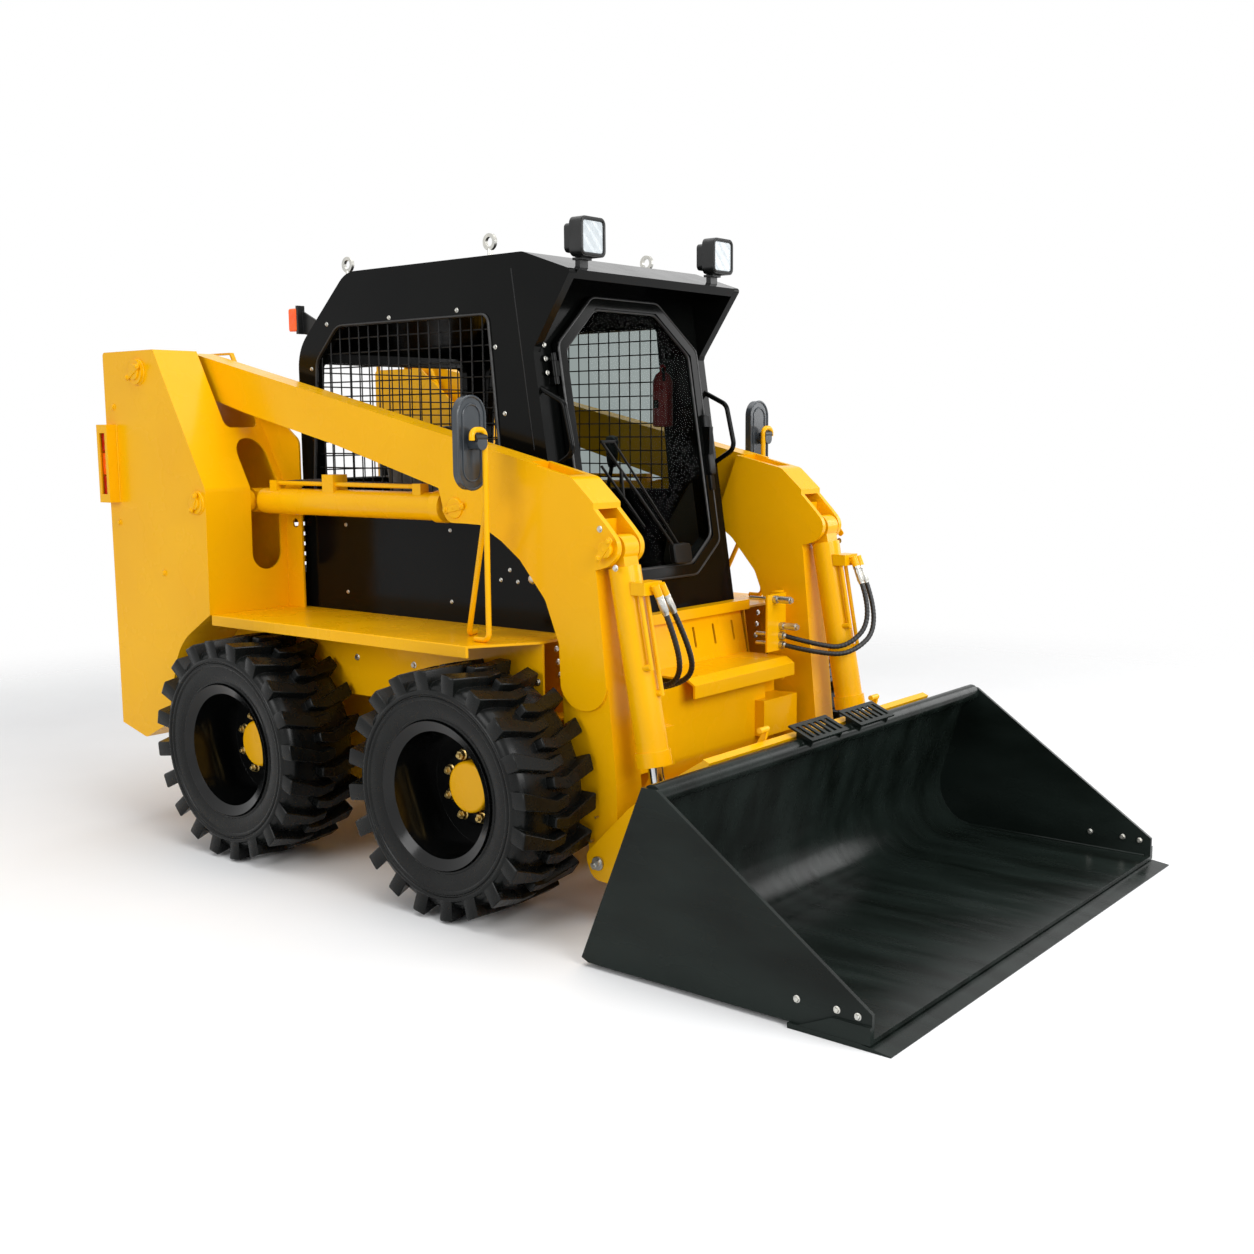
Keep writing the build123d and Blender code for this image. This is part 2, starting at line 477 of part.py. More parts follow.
# bracket on the left leg for the couplings of the extra hydraulic circuit
BRACKET_X = (LEG_X[0] - 190, LEG_X[0] - 70)
BRACKET_FACE_Y = -908.0
BRACKET_Z = (722.0, 930.0)
coupling_bracket = block(BRACKET_X, (BRACKET_FACE_Y, BRACKET_FACE_Y + SHEET), BRACKET_Z)
bracket_back = BRACKET_FACE_Y + 62
coupling_bracket += block((BRACKET_X[1] - SHEET, BRACKET_X[1]), (BRACKET_FACE_Y, bracket_back), BRACKET_Z)
coupling_bracket += block((BRACKET_X[1] - 1, LEG_X[0]), (bracket_back - SHEET, bracket_back), BRACKET_Z)
CROSS_TUBE = (-896.0, 322.0)
cross_tube = disc_x(CROSS_TUBE, 34, -LEG_X[0], LEG_X[0])
nodes["boom_arms"] = arm + mirrored(arm) + cross_tube + coupling_bracket
TILT_X = (LEG_X[0] + LEG_X[1]) / 2
nodes["tilt_pins"] = both(disc_x(TILT_TOP, TILT_PIN, LEG_X[0], LEG_X[1] + 14))


# quick couplings and hose unions on the bracket: x, z, reach ahead, reach behind
COUPLINGS = (
    (BRACKET_X[0] + 42, 912.0, 78.0, 96.0), (BRACKET_X[0] + 86, 811.0, 76.0, 40.0),
    (BRACKET_X[0] + 84, 776.0, 16.0, 96.0), (BRACKET_X[0] + 84, 742.0, 16.0, 96.0))
bracket_rear_y = BRACKET_FACE_Y + SHEET
couplings = []
for x, z, ahead, behind in COUPLINGS:
    tip = BRACKET_FACE_Y - ahead
    coupling = rod((x, BRACKET_FACE_Y, z), (x, tip, z), 9)
    coupling += rod((x, BRACKET_FACE_Y, z), (x, BRACKET_FACE_Y - 16, z), 14)
    if ahead > 40:
        coupling += rod((x, BRACKET_FACE_Y - 26, z), (x, tip + 8, z), 13)
    coupling += rod((x, bracket_rear_y, z), (x, bracket_rear_y + 18, z), 14)
    coupling += rod((x, bracket_rear_y, z), (x, bracket_rear_y + behind, z), 7)
    couplings += [coupling]
# ------------------------------------------------------------------ cylinders
def cylinder(base, eye, centre_x, size):
    """Barrel and rod of a hydraulic cylinder from its base pin to its rod's eye, both in (y, z).

    size: barrel radius, rod radius, barrel length from the base pin, base pin radius, base eye radius,
    rod eye radius, eye half width, length of rod inside at rest.
    """
    (barrel_r, rod_r, barrel_length, base_pin_r, base_eye_r, rod_eye_r, eye_half, inside) = size
    start = Vector(centre_x, *base)
    end = Vector(centre_x, *eye)
    ahead = (end - start).normalized()
    length = (end - start).length
    neck = base_eye_r + 16
    barrel = rod(start + ahead * neck, start + ahead * barrel_length, barrel_r)
    barrel += rod(start + ahead * (barrel_length - 46), start + ahead * barrel_length, barrel_r + 6)
    barrel += disc_x(base, base_eye_r, centre_x - eye_half, centre_x + eye_half)
    tang_back = Vector(0, -ahead.Z, ahead.Y) * (base_eye_r - 12)
    shoulder = start + ahead * neck
    tang = [start + tang_back, start - tang_back, shoulder - tang_back, shoulder + tang_back]
    barrel += across([(at.Y, at.Z) for at in tang], centre_x - eye_half, centre_x + eye_half)
    barrel -= rod(start + ahead * (neck + 40), start + ahead * (barrel_length - 40), barrel_r - 9)
    barrel -= rod(start + ahead * (neck + 40), start + ahead * (barrel_length + 1), rod_r + RUNNING_CLEARANCE)
    barrel -= disc_x(base, base_pin_r + RUNNING_CLEARANCE, centre_x - eye_half - 1, centre_x + eye_half + 1)
    piston = rod(end - ahead * (length - barrel_length + inside), end - ahead * (rod_eye_r - 6), rod_r)
    piston += disc_x(eye, rod_eye_r, centre_x - eye_half, centre_x + eye_half)
    return barrel, piston, ahead


# barrel r, rod r, barrel length, base pin r, base eye r, rod eye r, eye half width, rod inside
LIFT_SIZE = (48.0, 25.0, 1030.0, LIFT_PIN, 46.0, 42.0, LIFT_EYE_HALF, 720.0)
TILT_SIZE = (50.0, 24.0, 672.0, TILT_PIN, 42.0, 38.0, 34.0, 465.0)
lift_barrel, lift_rod, lift_ahead = cylinder(LIFT_BASE, LIFT_EYE, LIFT_X, LIFT_SIZE)
tilt_barrel, tilt_rod, tilt_ahead = cylinder(TILT_TOP, TILT_EYE, 0, TILT_SIZE)
pipe_top = LIFT_BASE[1] + LIFT_SIZE[0] + 20
lift_barrel += rod((LIFT_X + 14, 640, pipe_top), (LIFT_X + 14, -130, pipe_top), 8)
# y, length, side, top of the pipe's three blocks; the lift hose leaves the middle one
for y, wide, side_x, rise in ((640, 40, -8, 10), (330, 60, -36, 34), (-130, 40, -8, 10)):
    lift_barrel += block((LIFT_X + side_x, LIFT_X + 30), (y - wide / 2, y + wide / 2),
                         (LIFT_BASE[1] + LIFT_SIZE[0] - 14, pipe_top + rise))
# the tilt barrel's manifold and its two pipes, in front of the barrel; both sides carry the same part
MANIFOLD_Z = 1048.0
manifold_y = TILT_TOP[0] + (MANIFOLD_Z - TILT_TOP[1]) * tilt_ahead.Y / tilt_ahead.Z
tilt_barrel += block((-36, 52), (manifold_y - 92, manifold_y - 40), (MANIFOLD_Z - 20, MANIFOLD_Z + 20))
pipe_out = Vector(0, -tilt_ahead.Z, tilt_ahead.Y) * -(TILT_SIZE[0] + 14)
for pipe_x, foot_at in ((-24, 380), (8, 462)):
    head = Vector(pipe_x, *TILT_TOP) + tilt_ahead * 130 + pipe_out
    foot = Vector(pipe_x, *TILT_TOP) + tilt_ahead * foot_at + pipe_out
    tilt_barrel += rod(head, foot, 7)
    tilt_barrel += rod(foot - tilt_ahead * 10, foot - tilt_ahead * 10 - pipe_out * 0.6, 11)

# hoses: straight runs joined by arcs as large as the runs allow
HOSE_RADIUS = 9.5
ELBOW = 24.0
FERRULE = 66.0
OUTLETS = (6.0, 38.0)
outlet_y = manifold_y - 106
# the barrel turns by 3 degrees while the couplings stand still, so a hose's tip keeps this play
COUPLING_STUB = 8.0
HOSE_PLAY = 28.0


def hose(points):
    """A tube along a route; each arc takes 0.45 of its shorter run."""
    runs = [Vector(*b) - Vector(*a) for a, b in zip(points, points[1:])]
    radii = [0.45 * min(a.length, b.length) / math.tan(math.radians(a.get_angle(b)) / 2)
             for a, b in zip(runs, runs[1:])]
    print("hose radii", [round(r) for r in radii], "length", round(sum(run.length for run in runs)))
    return bent_bar([tuple(Vector(*point)) for point in points], radii, HOSE_RADIUS)


def aimed(start, target, reach):
    """The end of a fitting of this reach that points from start to target."""
    return Vector(*start) + (Vector(*target) - Vector(*start)).normalized() * reach


# side, centre of the cylinder, then for each hose the outlet and the corners of its route
inside_right_leg = HOSE_RADIUS + 3 - LEG_X[0]
HOSE_ROUTES = (
    ("right", -TILT_X, (
        (OUTLETS[0], [(-494, -1130, 858), (-446, -1098, 752), (-430, -1004, 712), (-443, -892, 735),
                      (inside_right_leg, -850, 812)]),
        (OUTLETS[1], [(-446, -1132, 864), (-384, -1106, 760), (-368, -1000, 706), (-410, -878, 692),
                      (inside_right_leg, -835, 745)]))),
    ("left", TILT_X, (
        (OUTLETS[0], [(597, -1188, 838), (512, -1130, 735), (454, -1030, 749)]),
        (OUTLETS[1], [(632, -1200, 812), (508, -1150, 712), (441, -1028, 722)]))))
for side_name, centre, routes in HOSE_ROUTES:
    barrel = Pos(centre, 0, 0) * tilt_barrel
    ferrules = []
    for (outlet, corners), letter, union in zip(routes, "ab", COUPLINGS[2:]):
        elbow = (centre + outlet, outlet_y, MANIFOLD_Z)
        stub, top = aimed(elbow, corners[0], ELBOW), aimed(elbow, corners[0], ELBOW + FERRULE)
        barrel += rod((elbow[0], outlet_y + 26, MANIFOLD_Z), elbow, 11)
        barrel += rod(aimed(elbow, corners[0], -13), stub, 13)
        ferrules += [rod(stub, top, 13)]
        if side_name == "left":
            nut = (union[0], BRACKET_FACE_Y - union[2], union[1])
            couplings += [rod(nut, aimed(nut, corners[-1], COUPLING_STUB), 11)]
            corners = corners + [aimed(nut, corners[-1], COUPLING_STUB + HOSE_PLAY)]
        nodes["tilt_hose_" + side_name + "_" + letter] = hose([top] + corners)
    nodes["hose_ferrules_" + side_name] = together(*ferrules)
    nodes["tilt_barrel_" + side_name] = barrel
    nodes["tilt_rod_" + side_name] = Pos(centre, 0, 0) * tilt_rod
nodes["hydraulic_couplings"] = together(*couplings)
hose_x = LIFT_X - 22
lift_hose = hose([(hose_x, 360, pipe_top + 8), (hose_x, 540, pipe_top + 8), (hose_x + 4, 716, pipe_top - 10)])
sides("lift_hose", lift_hose)
sides("lift_barrel", lift_barrel)
sides("lift_rod", lift_rod)

# ------------------------------------------------------------------ bucket and quick coupler
BUCKET_HALF = OVER_TYRES / 2
BUCKET_SHEET = 12.0
BACK_FOOT = (-1147.0, 25.0)
BACK_TOP = (-1370.0, 557.0)
back_length = math.hypot(BACK_TOP[0] - BACK_FOOT[0], BACK_TOP[1] - BACK_FOOT[1])
back_up = ((BACK_TOP[0] - BACK_FOOT[0]) / back_length, (BACK_TOP[1] - BACK_FOOT[1]) / back_length)
back_out = (back_up[1], -back_up[0])


def on_back(up, out):
    """A point (y, z) a distance up the bucket's back and out behind it."""
    return (BACK_FOOT[0] + back_up[0] * up + back_out[0] * out,
            BACK_FOOT[1] + back_up[1] * up + back_out[1] * out)


side_plate = across([
    (-2091, 14), (-2091, 91), (-1420, 557, 20), BACK_TOP, BACK_FOOT, (-1172, 14)],
    BUCKET_HALF - BUCKET_SHEET, BUCKET_HALF)
in_top, in_foot = on_back(back_length - 18, -BUCKET_SHEET), on_back(150, -BUCKET_SHEET)
shell = across([
    (-2091, 14), (-2091, 26), (-1230, 26, 150), in_top, on_back(back_length - 18, 0), BACK_FOOT, (-1172, 14)],
    -BUCKET_HALF + BUCKET_SHEET, BUCKET_HALF - BUCKET_SHEET)
lip_centre = on_back(back_length - 8, -34)
lip = disc_x(lip_centre, 30, -BUCKET_HALF + BUCKET_SHEET, BUCKET_HALF - BUCKET_SHEET)
bucket = shell + side_plate + mirrored(side_plate) + lip
# anti-slip step plates on bracket legs over the lip
for step_x in (-125.0, 175.0):
    tread = across([on_back(back_length + 34, -70), on_back(back_length + 40, -70),
                    on_back(back_length + 40, 26), on_back(back_length + 34, 26)], step_x - 110, step_x + 110)
    for slot in range(6):
        hole_x = step_x - 95 + slot * 34
        tread -= across([on_back(back_length + 20, -56), on_back(back_length + 60, -56),
                         on_back(back_length + 60, 10), on_back(back_length + 20, 10)], hole_x, hole_x + 18)
    for leg_x in (step_x - 90, step_x + 84):
        tread += across([on_back(back_length - 30, -58), on_back(back_length + 36, -62),
                         on_back(back_length + 36, 6), on_back(back_length - 14, -14)], leg_x, leg_x + 8)
    bucket += tread
wear_plate = across([(-2091, 14), (-2091, 60), (-1980, 60), (-1880, 14)], BUCKET_HALF - 1, BUCKET_HALF + 9)
bucket += wear_plate + mirrored(wear_plate)
nodes["bucket"] = bucket
nodes["cutting_edge"] = across([(-2150, 0), (-2150, 3), (-2060, 14), (-1850, 14), (-1850, 0)],
                               -BUCKET_HALF - 10, BUCKET_HALF + 10)

LUG_X = (LEG_X[0] - MOVING_GAP - 18, LEG_X[0] - MOVING_GAP)
LUG_OUT_X = (LEG_X[1] + MOVING_GAP, LEG_X[1] + MOVING_GAP + 18)
lug_outline = [on_back(8, 0), on_back(back_length, 0), on_back(back_length - 4, 30), on_back(400, 150),
               (TILT_EYE[0] + 62, TILT_EYE[1] + 22, 44), (BUCKET_HINGE[0] + 54, BUCKET_HINGE[1] + 20, 40),
               (BUCKET_HINGE[0] + 24, BUCKET_HINGE[1] - 54, 46), on_back(64, 112), on_back(8, 66)]
lugs = across(lug_outline, *LUG_X) + across(lug_outline, *LUG_OUT_X)
eye_gap = 8
tilt_bosses = (disc_x(TILT_EYE, 34, LUG_X[1] - 1, TILT_X - TILT_SIZE[6] - eye_gap)
               + disc_x(TILT_EYE, 34, TILT_X + TILT_SIZE[6] + eye_gap, LUG_OUT_X[0] + 1))
lugs += tilt_bosses
hinge_hole = disc_x(BUCKET_HINGE, HINGE_PIN, LUG_X[0] - 1, LUG_OUT_X[1] + 1)
top_bar = across([on_back(500, 0), on_back(back_length + 10, 0),
                  on_back(back_length + 10, 24), on_back(500, 24)],
                 -LUG_OUT_X[1], LUG_OUT_X[1])
foot_bar = across([on_back(10, 0), on_back(110, 0), on_back(110, 24), on_back(10, 24)],
                  -LUG_OUT_X[1], LUG_OUT_X[1])
coupler = lugs + mirrored(lugs) + top_bar + foot_bar
coupler -= hinge_hole + mirrored(hinge_hole)
for lever_x in (-340.0, 340.0):
    lever = across([on_back(500, 24), on_back(560, 24),
                    on_back(back_length + 44, 34), on_back(back_length + 44, 44),
                    on_back(548, 52), on_back(500, 40)], lever_x - 6, lever_x + 6)
    coupler += lever + disc_x(on_back(back_length + 40, 40), 9, lever_x - 40, lever_x + 6)
nodes["quick_coupler"] = coupler
nodes["hinge_pins"] = both(disc_x(BUCKET_HINGE, HINGE_PIN, LUG_X[0], LUG_OUT_X[1]))

# ------------------------------------------------------------------ cab
CAB_WALL = 34.0
CAB_FRONT_FOOT = (-669.0, DECK_Z)
CAB_FRONT_TOP = (-525.0, 1774.0)
FRONT_LEAN = (CAB_FRONT_TOP[0] - CAB_FRONT_FOOT[0]) / (CAB_FRONT_TOP[1] - CAB_FRONT_FOOT[1])
ROOF_Z = 2090.0


def front_y(z):
    """The front plane of the cab at a height."""
    return CAB_FRONT_TOP[0] + FRONT_LEAN * (z - CAB_FRONT_TOP[1])


cab_side_outline = [
    CAB_FRONT_FOOT, CAB_FRONT_TOP, (-530, 1790), (-690, 2024, 12), (-482, 2094, 60), (387, 2090, 120),
    (669, 1825, 160), (669, DECK_Z)]
cab_side = across(cab_side_outline, CAB_HALF - CAB_WALL, CAB_HALF)
SIDE_WINDOW = [(-385, 1290, 20), (-324, 1904, 20), (440, 1902, 60), (560, 1780, 60), (600, 1290, 20)]
REAR_WINDOW = [(-380, 1340, 30), (380, 1340, 30), (380, 1780, 30), (-380, 1780, 30)]
cab_side -= across(SIDE_WINDOW, CAB_HALF - CAB_WALL - 1, CAB_HALF + 1)
HANDLE_X = CAB_HALF - CAB_WALL / 2
high, low = (front_y(1660), 1660.0), (front_y(1390), 1390.0)
cab_side += bent_bar([(HANDLE_X, high[0] + 12, high[1]), (HANDLE_X, high[0] - 96, high[1] - 50),
                      (HANDLE_X, low[0] - 92, low[1] + 60), (HANDLE_X, low[0] + 12, low[1])], [40, 40], 9)
nodes["cab_sides"] = both(cab_side)
inner_half = CAB_HALF - CAB_WALL
roof = across([
    (-690, 2024), (-482, 2094, 60), (387, 2090, 120), (560, 1928, 20), (540, 1906), (372, 2060, 100),
    (-476, 2064, 60), (-672, 1998)], -inner_half, inner_half)
nodes["cab_roof"] = roof
rear_wall = block((-inner_half, inner_half), (635, 669), (DECK_Z, 1830))
rear_wall += across([(669, 1825), (560, 1928), (540, 1906), (635, 1815)], -inner_half, inner_half)
rear_wall -= along(REAR_WINDOW, 600, 700)
nodes["cab_rear"] = rear_wall
front_frame = across([
    (front_y(DECK_Z), DECK_Z), (front_y(2070), 2070),
    (front_y(2070) + 40, 2070), (front_y(DECK_Z) + 40, DECK_Z)],
    -inner_half, inner_half)
DOOR_HALF = CAB_HALF - 87
door_ring = [(-DOOR_HALF, 1112), (-DOOR_HALF, 1805), (-180, 1968),
             (180, 1968), (DOOR_HALF, 1805), (DOOR_HALF, 1112),
             (216, 1000), (-216, 1000)]


def shrink(corners, by):
    """The same outline moved inwards, towards its middle, by a distance on every side."""
    face = offset(outline(corners), -by, kind=Kind.INTERSECTION)
    return face


cut_plane = Plane(origin=(0, -300, 0), x_dir=(1, 0, 0), z_dir=(0, -1, 0))
front_cut = extrude(cut_plane * shrink(door_ring, 30), 600)
front_frame -= front_cut
front_frame = (front_frame - roof).solids().sort_by(SortBy.VOLUME)[-1]
FLOOR_Z = 560.0
SEAT_PAN_Z = 958.0
cab_floor = block((-TUB_HALF, TUB_HALF), (-690, -150), (FLOOR_Z - SHEET, FLOOR_Z))
cab_floor += block((-TUB_HALF, TUB_HALF), (-158, -150), (FLOOR_Z, SEAT_PAN_Z))
cab_floor += block((-inner_half, inner_half), (-158, 635), (SEAT_PAN_Z - SHEET, SEAT_PAN_Z))
ledge = block((TUB_HALF, TUB_HALF + SHEET), (-612, -150), (CASE_TOP, SEAT_PAN_Z))
ledge += block((TUB_HALF, inner_half), (-612, -150), (SEAT_PAN_Z - SHEET, SEAT_PAN_Z))
nodes["cab_floor"] = cab_floor + ledge + mirrored(ledge)
mesh_x = CAB_HALF - CAB_WALL / 2
WIRE = 5.0
MESH_PITCH = 52.0


def rows(low, high):
    """Places of evenly pitched wires between two edges."""
    count = int((high - low) / MESH_PITCH)
    first = (low + high - (count - 1) * MESH_PITCH) / 2
    return [first + k * MESH_PITCH for k in range(count)]


side_rails = [block((mesh_x - WIRE, mesh_x), (-390, 606), (z - WIRE / 2, z + WIRE / 2))
              for z in rows(1290, 1904)]
side_rails += [block((mesh_x, mesh_x + WIRE), (y - WIRE / 2, y + WIRE / 2), (1290, 1904))
               for y in rows(-385, 600)]
side_mesh = Part() + side_rails
side_mesh &= across(SIDE_WINDOW, mesh_x - WIRE, mesh_x + WIRE)
rear_rails = [block((-380, 380), (650, 650 + WIRE), (z - WIRE / 2, z + WIRE / 2)) for z in rows(1340, 1780)]
rear_rails += [block((x - WIRE / 2, x + WIRE / 2), (650 - WIRE, 650), (1340, 1780)) for x in rows(-380, 380)]
rear_mesh = Part() + rear_rails
rear_mesh &= along(REAR_WINDOW, 650 - WIRE, 650 + WIRE)
nodes["cab_grilles"] = together(side_mesh, mirrored(side_mesh), rear_mesh)

# door, in the leaning front plane
door_plane_gap = 8.0
DOOR_DEEP = 26.0


def in_front(face_corners, gap, deep):
    """A prism on the leaning front plane, from a face in (x, z), a gap in front of the plane."""
    slab = extrude(Plane(origin=(0, -300, 0), x_dir=(1, 0, 0), z_dir=(0, -1, 0)) * face_corners, 600)
    layer = across([
        (front_y(700) - gap - deep, 700), (front_y(2200) - gap - deep, 2200), (front_y(2200) - gap, 2200),
        (front_y(700) - gap, 700)], -600, 600)
    return slab & layer


door_outer = outline(door_ring)
door_inner = shrink(door_ring, 40)
door_frame = in_front(door_outer - door_inner, door_plane_gap, DOOR_DEEP)
hinge_out = door_plane_gap + DOOR_DEEP / 2
CAB_DOOR_HINGE = (-DOOR_HALF - 17, front_y(1400) - hinge_out, 1400.0)
CAB_DOOR_LINE = (0.0, -FRONT_LEAN, -1.0)
for z in (1240, 1720):
    strap, leaf = hinge((CAB_DOOR_HINGE[0], front_y(z) - hinge_out, z), (0.0, FRONT_LEAN, 1.0), 50,
                        ((0, -10), (24, 0)), ((-10, 0), (5, hinge_out)))
    door_frame += strap
    front_frame += leaf
handle_y = front_y(1480) - door_plane_gap - DOOR_DEEP
door_frame += block((352, 374), (handle_y - 30, handle_y + 10), (1430, 1530))
nodes["door_frame"] = door_frame
nodes["cab_front"] = front_frame
nodes["door_glass"] = in_front(door_inner, door_plane_gap + 8, 6)

# seat
SEAT_TOP = 1080.0
nodes["seat_cushion"] = block((-230, 230), (-120, 400), (SEAT_PAN_Z, SEAT_TOP))
nodes["seat_back"] = across(
    [(400, 1000), (480, 1000), (560, 1560, 30), (470, 1560, 30), (400, SEAT_TOP)], -220, 220)

# ------------------------------------------------------------------ roof fittings
LAMP_AT = (CAB_HALF - 111, -640.0, 2132.0)
LAMP_HALF = 62.0
SQUARE = ((-1, -1), (1, -1), (1, 1), (-1, 1))
lamp_face = [(LAMP_AT[0] + x * LAMP_HALF, LAMP_AT[2] + z * LAMP_HALF, 22) for x, z in SQUARE]
lamp_back = [(LAMP_AT[0] + x * 46, LAMP_AT[2] + z * 46, 16) for x, z in ((-1, -1), (1, -1), (1, 1), (-1, 1))]
lens_recess = [(LAMP_AT[0] + x * 52, LAMP_AT[2] + z * 52, 14) for x, z in SQUARE]
lamp = along(lamp_face, LAMP_AT[1] - 50, LAMP_AT[1] - 2) + along(lamp_back, LAMP_AT[1] - 2, LAMP_AT[1] + 34)
lamp -= along(lens_recess, LAMP_AT[1] - 51, LAMP_AT[1] - 42)
lamp += block((LAMP_AT[0] - 20, LAMP_AT[0] + 20), (LAMP_AT[1] - 10, LAMP_AT[1] + 10), (2034, LAMP_AT[2] - 60))
nodes["work_lamps"] = both((lamp - roof).solids().sort_by(SortBy.VOLUME)[-1])
EYE_HOLE = 16.0
EYE_THICK = 12.0
EYE_RISE = 50.0
EYE_X = CAB_HALF - 48
EYE_PLACES = ((426.0, 2072.0), (-293.0, 2093.0))
lifting_eyes = []
for y, z in EYE_PLACES:
    ring = disc_x((y, z + EYE_RISE), EYE_HOLE + 12, EYE_X - EYE_THICK / 2, EYE_X + EYE_THICK / 2)
    ring -= disc_x((y, z + EYE_RISE), EYE_HOLE, EYE_X - EYE_THICK, EYE_X + EYE_THICK)
    stem = rod((EYE_X, y, z - 40), (EYE_X, y, z + 28), 9) - roof
    lifting_eyes.append((ring + stem).solids().sort_by(Axis.Z)[-1])
nodes["lifting_eyes"] = both(together(*lifting_eyes))

# mirrors, each on a bent rod with a second rod bracing it
MIRROR_AT = (UPRIGHT_X - 74, -546.0, 1484.0)
MIRROR_HALF = (60.0, 145.0)
ROD_RADIUS = 9.0
rod_x, rod_y = MIRROR_AT[0] - 22, MIRROR_AT[1] - 46
mirror_head = along([(MIRROR_AT[0] + x * MIRROR_HALF[0], MIRROR_AT[2] + z * MIRROR_HALF[1], 59)
                     for x, z in ((-1, -1), (1, -1), (1, 1), (-1, 1))], MIRROR_AT[1] - 12, MIRROR_AT[1] + 12)
mirror_head += rod((MIRROR_AT[0], MIRROR_AT[1] - 12, MIRROR_AT[2]),
                   (MIRROR_AT[0], rod_y - 12, MIRROR_AT[2]), 22)
foot_z = DECK_Z + ROD_RADIUS + SEAT_GAP
main_rod = bent_bar([(rod_x, rod_y + 60, foot_z), (rod_x, rod_y, foot_z), (rod_x, rod_y, MIRROR_AT[2] + 40),
                     (rod_x + 56, rod_y, MIRROR_AT[2] + 40), (rod_x + 56, rod_y, MIRROR_AT[2] + 8)],
                    [24, 20, 20], ROD_RADIUS)
brace_foot = (rod_x - 80, rod_y + 168)
brace = bent_bar([(brace_foot[0] - 50, brace_foot[1] + 20, foot_z), (*brace_foot, foot_z),
                  (rod_x, rod_y, 1290)], [22], ROD_RADIUS)
nodes["mirror_heads"] = both(mirror_head - main_rod)
nodes["mirror_stands"] = both(main_rod + brace)
nodes["tail_lamps"] = both(block((UPRIGHT_X, UPRIGHT_X + 30), (1288, 1333), (1276, 1536)))

# ------------------------------------------------------------------ writing
FRONT_REACH = 2150.0
REAR_REACH = UPRIGHT_REAR + TIE_REACH
FRAME_SHIFT = (FRONT_REACH - REAR_REACH) / 2

if __name__ == "__main__":
    os.makedirs("parts", exist_ok=True)
    for name, piece in nodes.items():
        export_step(Pos(0, FRAME_SHIFT, 0) * piece, f"parts/{name}.step")
        print(name, len(piece.solids()), round(piece.volume / 1e6, 2))
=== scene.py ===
# %% [markdown]
# # Skid steer loader: the looks
# A compact wheeled loader with two lift arms, a tilting bucket and a caged cab.  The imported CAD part
# is the fixed frame: every body, pin and sheet already stands at its real place.  What is left for
# Blender is what makes it look real: enamel, rubber and chrome, tyre tread, welded wire mesh, hoses,
# a padded seat, lamps and fasteners.  Each cell below makes one of those.

# %% Load the frame
import json
import math
import bmesh
import bpy
import mathutils
import numpy as np
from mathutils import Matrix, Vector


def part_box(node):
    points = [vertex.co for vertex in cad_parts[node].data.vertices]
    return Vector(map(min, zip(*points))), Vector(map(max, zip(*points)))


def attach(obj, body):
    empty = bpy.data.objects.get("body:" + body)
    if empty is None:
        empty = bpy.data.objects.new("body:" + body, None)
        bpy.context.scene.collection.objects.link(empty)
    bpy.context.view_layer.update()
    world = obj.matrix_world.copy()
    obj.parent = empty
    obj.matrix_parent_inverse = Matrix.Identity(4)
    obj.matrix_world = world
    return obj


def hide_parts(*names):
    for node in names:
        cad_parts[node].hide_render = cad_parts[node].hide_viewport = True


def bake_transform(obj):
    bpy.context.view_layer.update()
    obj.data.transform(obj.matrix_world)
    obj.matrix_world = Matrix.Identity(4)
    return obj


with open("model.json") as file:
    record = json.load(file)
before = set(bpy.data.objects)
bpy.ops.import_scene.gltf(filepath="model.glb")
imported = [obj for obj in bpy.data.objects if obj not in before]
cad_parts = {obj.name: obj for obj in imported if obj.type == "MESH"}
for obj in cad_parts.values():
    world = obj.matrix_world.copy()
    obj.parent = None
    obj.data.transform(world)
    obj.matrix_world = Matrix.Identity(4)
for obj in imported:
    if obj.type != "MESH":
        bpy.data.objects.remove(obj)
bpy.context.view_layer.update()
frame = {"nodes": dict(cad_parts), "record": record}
scene = bpy.context.scene

# %% [markdown]
# ## One set of numbers
# The shapes below are written in millimetres, measured from the middle between the axles, because
# a loader is drawn that way in the workshop.  The frame's origin lies under the middle of the whole
# machine, bucket included, so the two differ by one shift along Y.  It is read from the hubs instead
# of being typed, and it then stays right when the machine changes.

# %% Millimetres from the axles to metres in the frame
def middle(node):
    """The centre of a CAD node's box, in metres."""
    low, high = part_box(node)
    return (np.array(low) + np.array(high)) / 2


SHIFT = (middle("hub_front_right")[1] + middle("hub_rear_right")[1]) / 2


def mm(points):
    """Millimetres from the axles' middle to metres in the frame: shift along Y, then divide by 1000."""
    return (np.asarray(points, float) + (0, 1000 * SHIFT, 0)) / 1000


print("shift", round(SHIFT, 4))

# %% [markdown]
# ## Camera
# The camera stands off the machine's front right corner, half a metre above the seat.  Azimuth,
# elevation and roll are three plain angles, so the view is built from them as three axes at right
# angles instead of by a tracking constraint, which could not hold the small roll.

# %% Camera
CAMERA_AT = (-3.995, -3.3975, 1.522)
AZIMUTH, ELEVATION, ROLL = (math.radians(angle) for angle in (-51.2, 8.1, -0.4))


